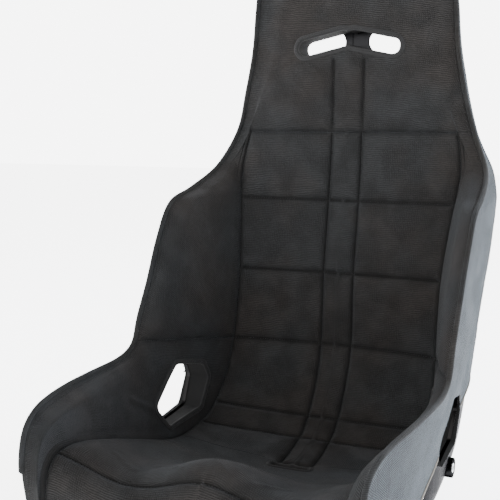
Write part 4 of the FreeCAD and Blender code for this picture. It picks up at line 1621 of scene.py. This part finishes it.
# --------------------------------------------------------------------------- stage


def plain(name: str, colour: str, roughness: float, glow: float) -> bpy.types.Material:
    """Plain matt material that gives off some light of its own."""
    material, _, shader = fresh_material(name)
    shader.inputs["Base Color"].default_value = linear(colour)
    shader.inputs["Roughness"].default_value = roughness
    shader.inputs["Specular IOR Level"].default_value = 0.1
    shader.inputs["Emission Color"].default_value = linear(colour)
    shader.inputs["Emission Strength"].default_value = glow
    return material


@dataclass(frozen=True)
class Lamp:
    """Soft area light.

    Args:
        name: object name.
        place: position in metres.
        target: what it points at.
        size: edge in metres.
        power: watts.
        colour: light colour.
    """

    name: str
    place: tuple[float, float, float]
    target: tuple[float, float, float]
    size: float
    power: float
    colour: str

    def build(self) -> None:
        """Adds the light."""
        data = bpy.data.lights.new(self.name, "AREA")
        data.shape, data.size, data.energy = "SQUARE", self.size, self.power
        data.color = linear(self.colour)[:3]
        item = bpy.data.objects.new(self.name, data)
        heading = Vector(self.target) - Vector(self.place)
        item.location = self.place
        item.rotation_euler = heading.to_track_quat("-Z", "Y").to_euler()
        bpy.context.scene.collection.objects.link(item)


LAMPS = (
    Lamp("side_softbox", (2.1, 1.1, 1.5), (0.1, 0.1, 0.45), 1.6, 120.0, "#e6efff"),
    Lamp("front_softbox", (-0.9, -2.4, 2.4), (0.0, 0.0, 0.4), 2.0, 60.0, "#fff6ea"),
    Lamp("left_softbox", (-2.4, -0.2, 1.3), (0.0, 0.0, 0.5), 1.6, 30.0, "#eaf1ff"),
)


@dataclass
class Studio:
    """Pale floor, bright surround, soft lights and the camera."""

    azimuth: float = 25.02
    elevation: float = 9.1
    place: tuple[float, float, float] = (0.512, -1.196, 0.587)
    lens: float = 67.8

    def build(self) -> None:
        """Adds everything round the seat."""
        world = bpy.data.worlds.new("white surround")
        bpy.context.scene.world = world
        world.use_nodes = True
        tree = world.node_tree
        tree.nodes.clear()
        # A bright wall all round and a dimmer ceiling, so that the pan stays darker than the back.
        heading = add_node(tree, "ShaderNodeTexCoord").outputs["Generated"]
        rise = add_node(tree, "ShaderNodeSeparateXYZ", {}, {0: heading}).outputs[2]
        level = spread_out(tree, rise, 0.22, 0.75, 7.0, 1.2)
        glow = add_node(tree, "ShaderNodeBackground", {"Color": linear("#ffffff")},
                        {"Strength": level})
        add_node(tree, "ShaderNodeOutputWorld", {}, {"Surface": glow.outputs[0]})
        mesh = bpy.data.meshes.new("floor")
        mesh.from_pydata([(-9, -9, 0), (9, -9, 0), (9, 9, 0), (-9, 9, 0)], [], [(0, 1, 2, 3)])
        mesh.materials.append(plain("white light table", "#f4f4f4", 0.9, 4.0))
        floor = bpy.data.objects.new("floor", mesh)
        bpy.context.scene.collection.objects.link(floor)
        floor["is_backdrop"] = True
        for lamp in LAMPS:
            lamp.build()
        self.camera()

    def camera(self) -> None:
        """Camera at the reference angle."""
        turn, tilt = math.radians(self.azimuth), math.radians(self.elevation)
        right = Vector((math.cos(turn), math.sin(turn), 0.0))
        level = Vector((-math.sin(turn), math.cos(turn), 0.0))
        up = level * math.sin(tilt) + Vector((0, 0, 1)) * math.cos(tilt)
        back = right.cross(up)
        data = bpy.data.cameras.new("camera")
        data.lens, data.sensor_width, data.shift_y = self.lens, 36.0, 0.04
        item = bpy.data.objects.new("camera", data)
        axes = Matrix((right, up, back)).transposed().to_4x4()
        item.matrix_world = Matrix.Translation(self.place) @ axes
        bpy.context.scene.collection.objects.link(item)
        bpy.context.scene.camera = item


def corners() -> list[list[float]]:
    """Lowest and highest corner of what is shown."""
    return [list(map(float, corner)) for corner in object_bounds()]


def main() -> None:
    """Builds the seat's looks on the frame."""
    logging.basicConfig(level=logging.INFO, format="%(name)s: %(message)s")
    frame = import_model()
    Hardware(frame["nodes"]).dress()
    trim = Trim()
    trim.build()
    trim.dress()
    for piece in trim.pieces:
        LOG.info("%s: %d faces", piece.item.name, len(piece.item.data.polygons))
    Studio().build()


if __name__ == "__main__":
    main()
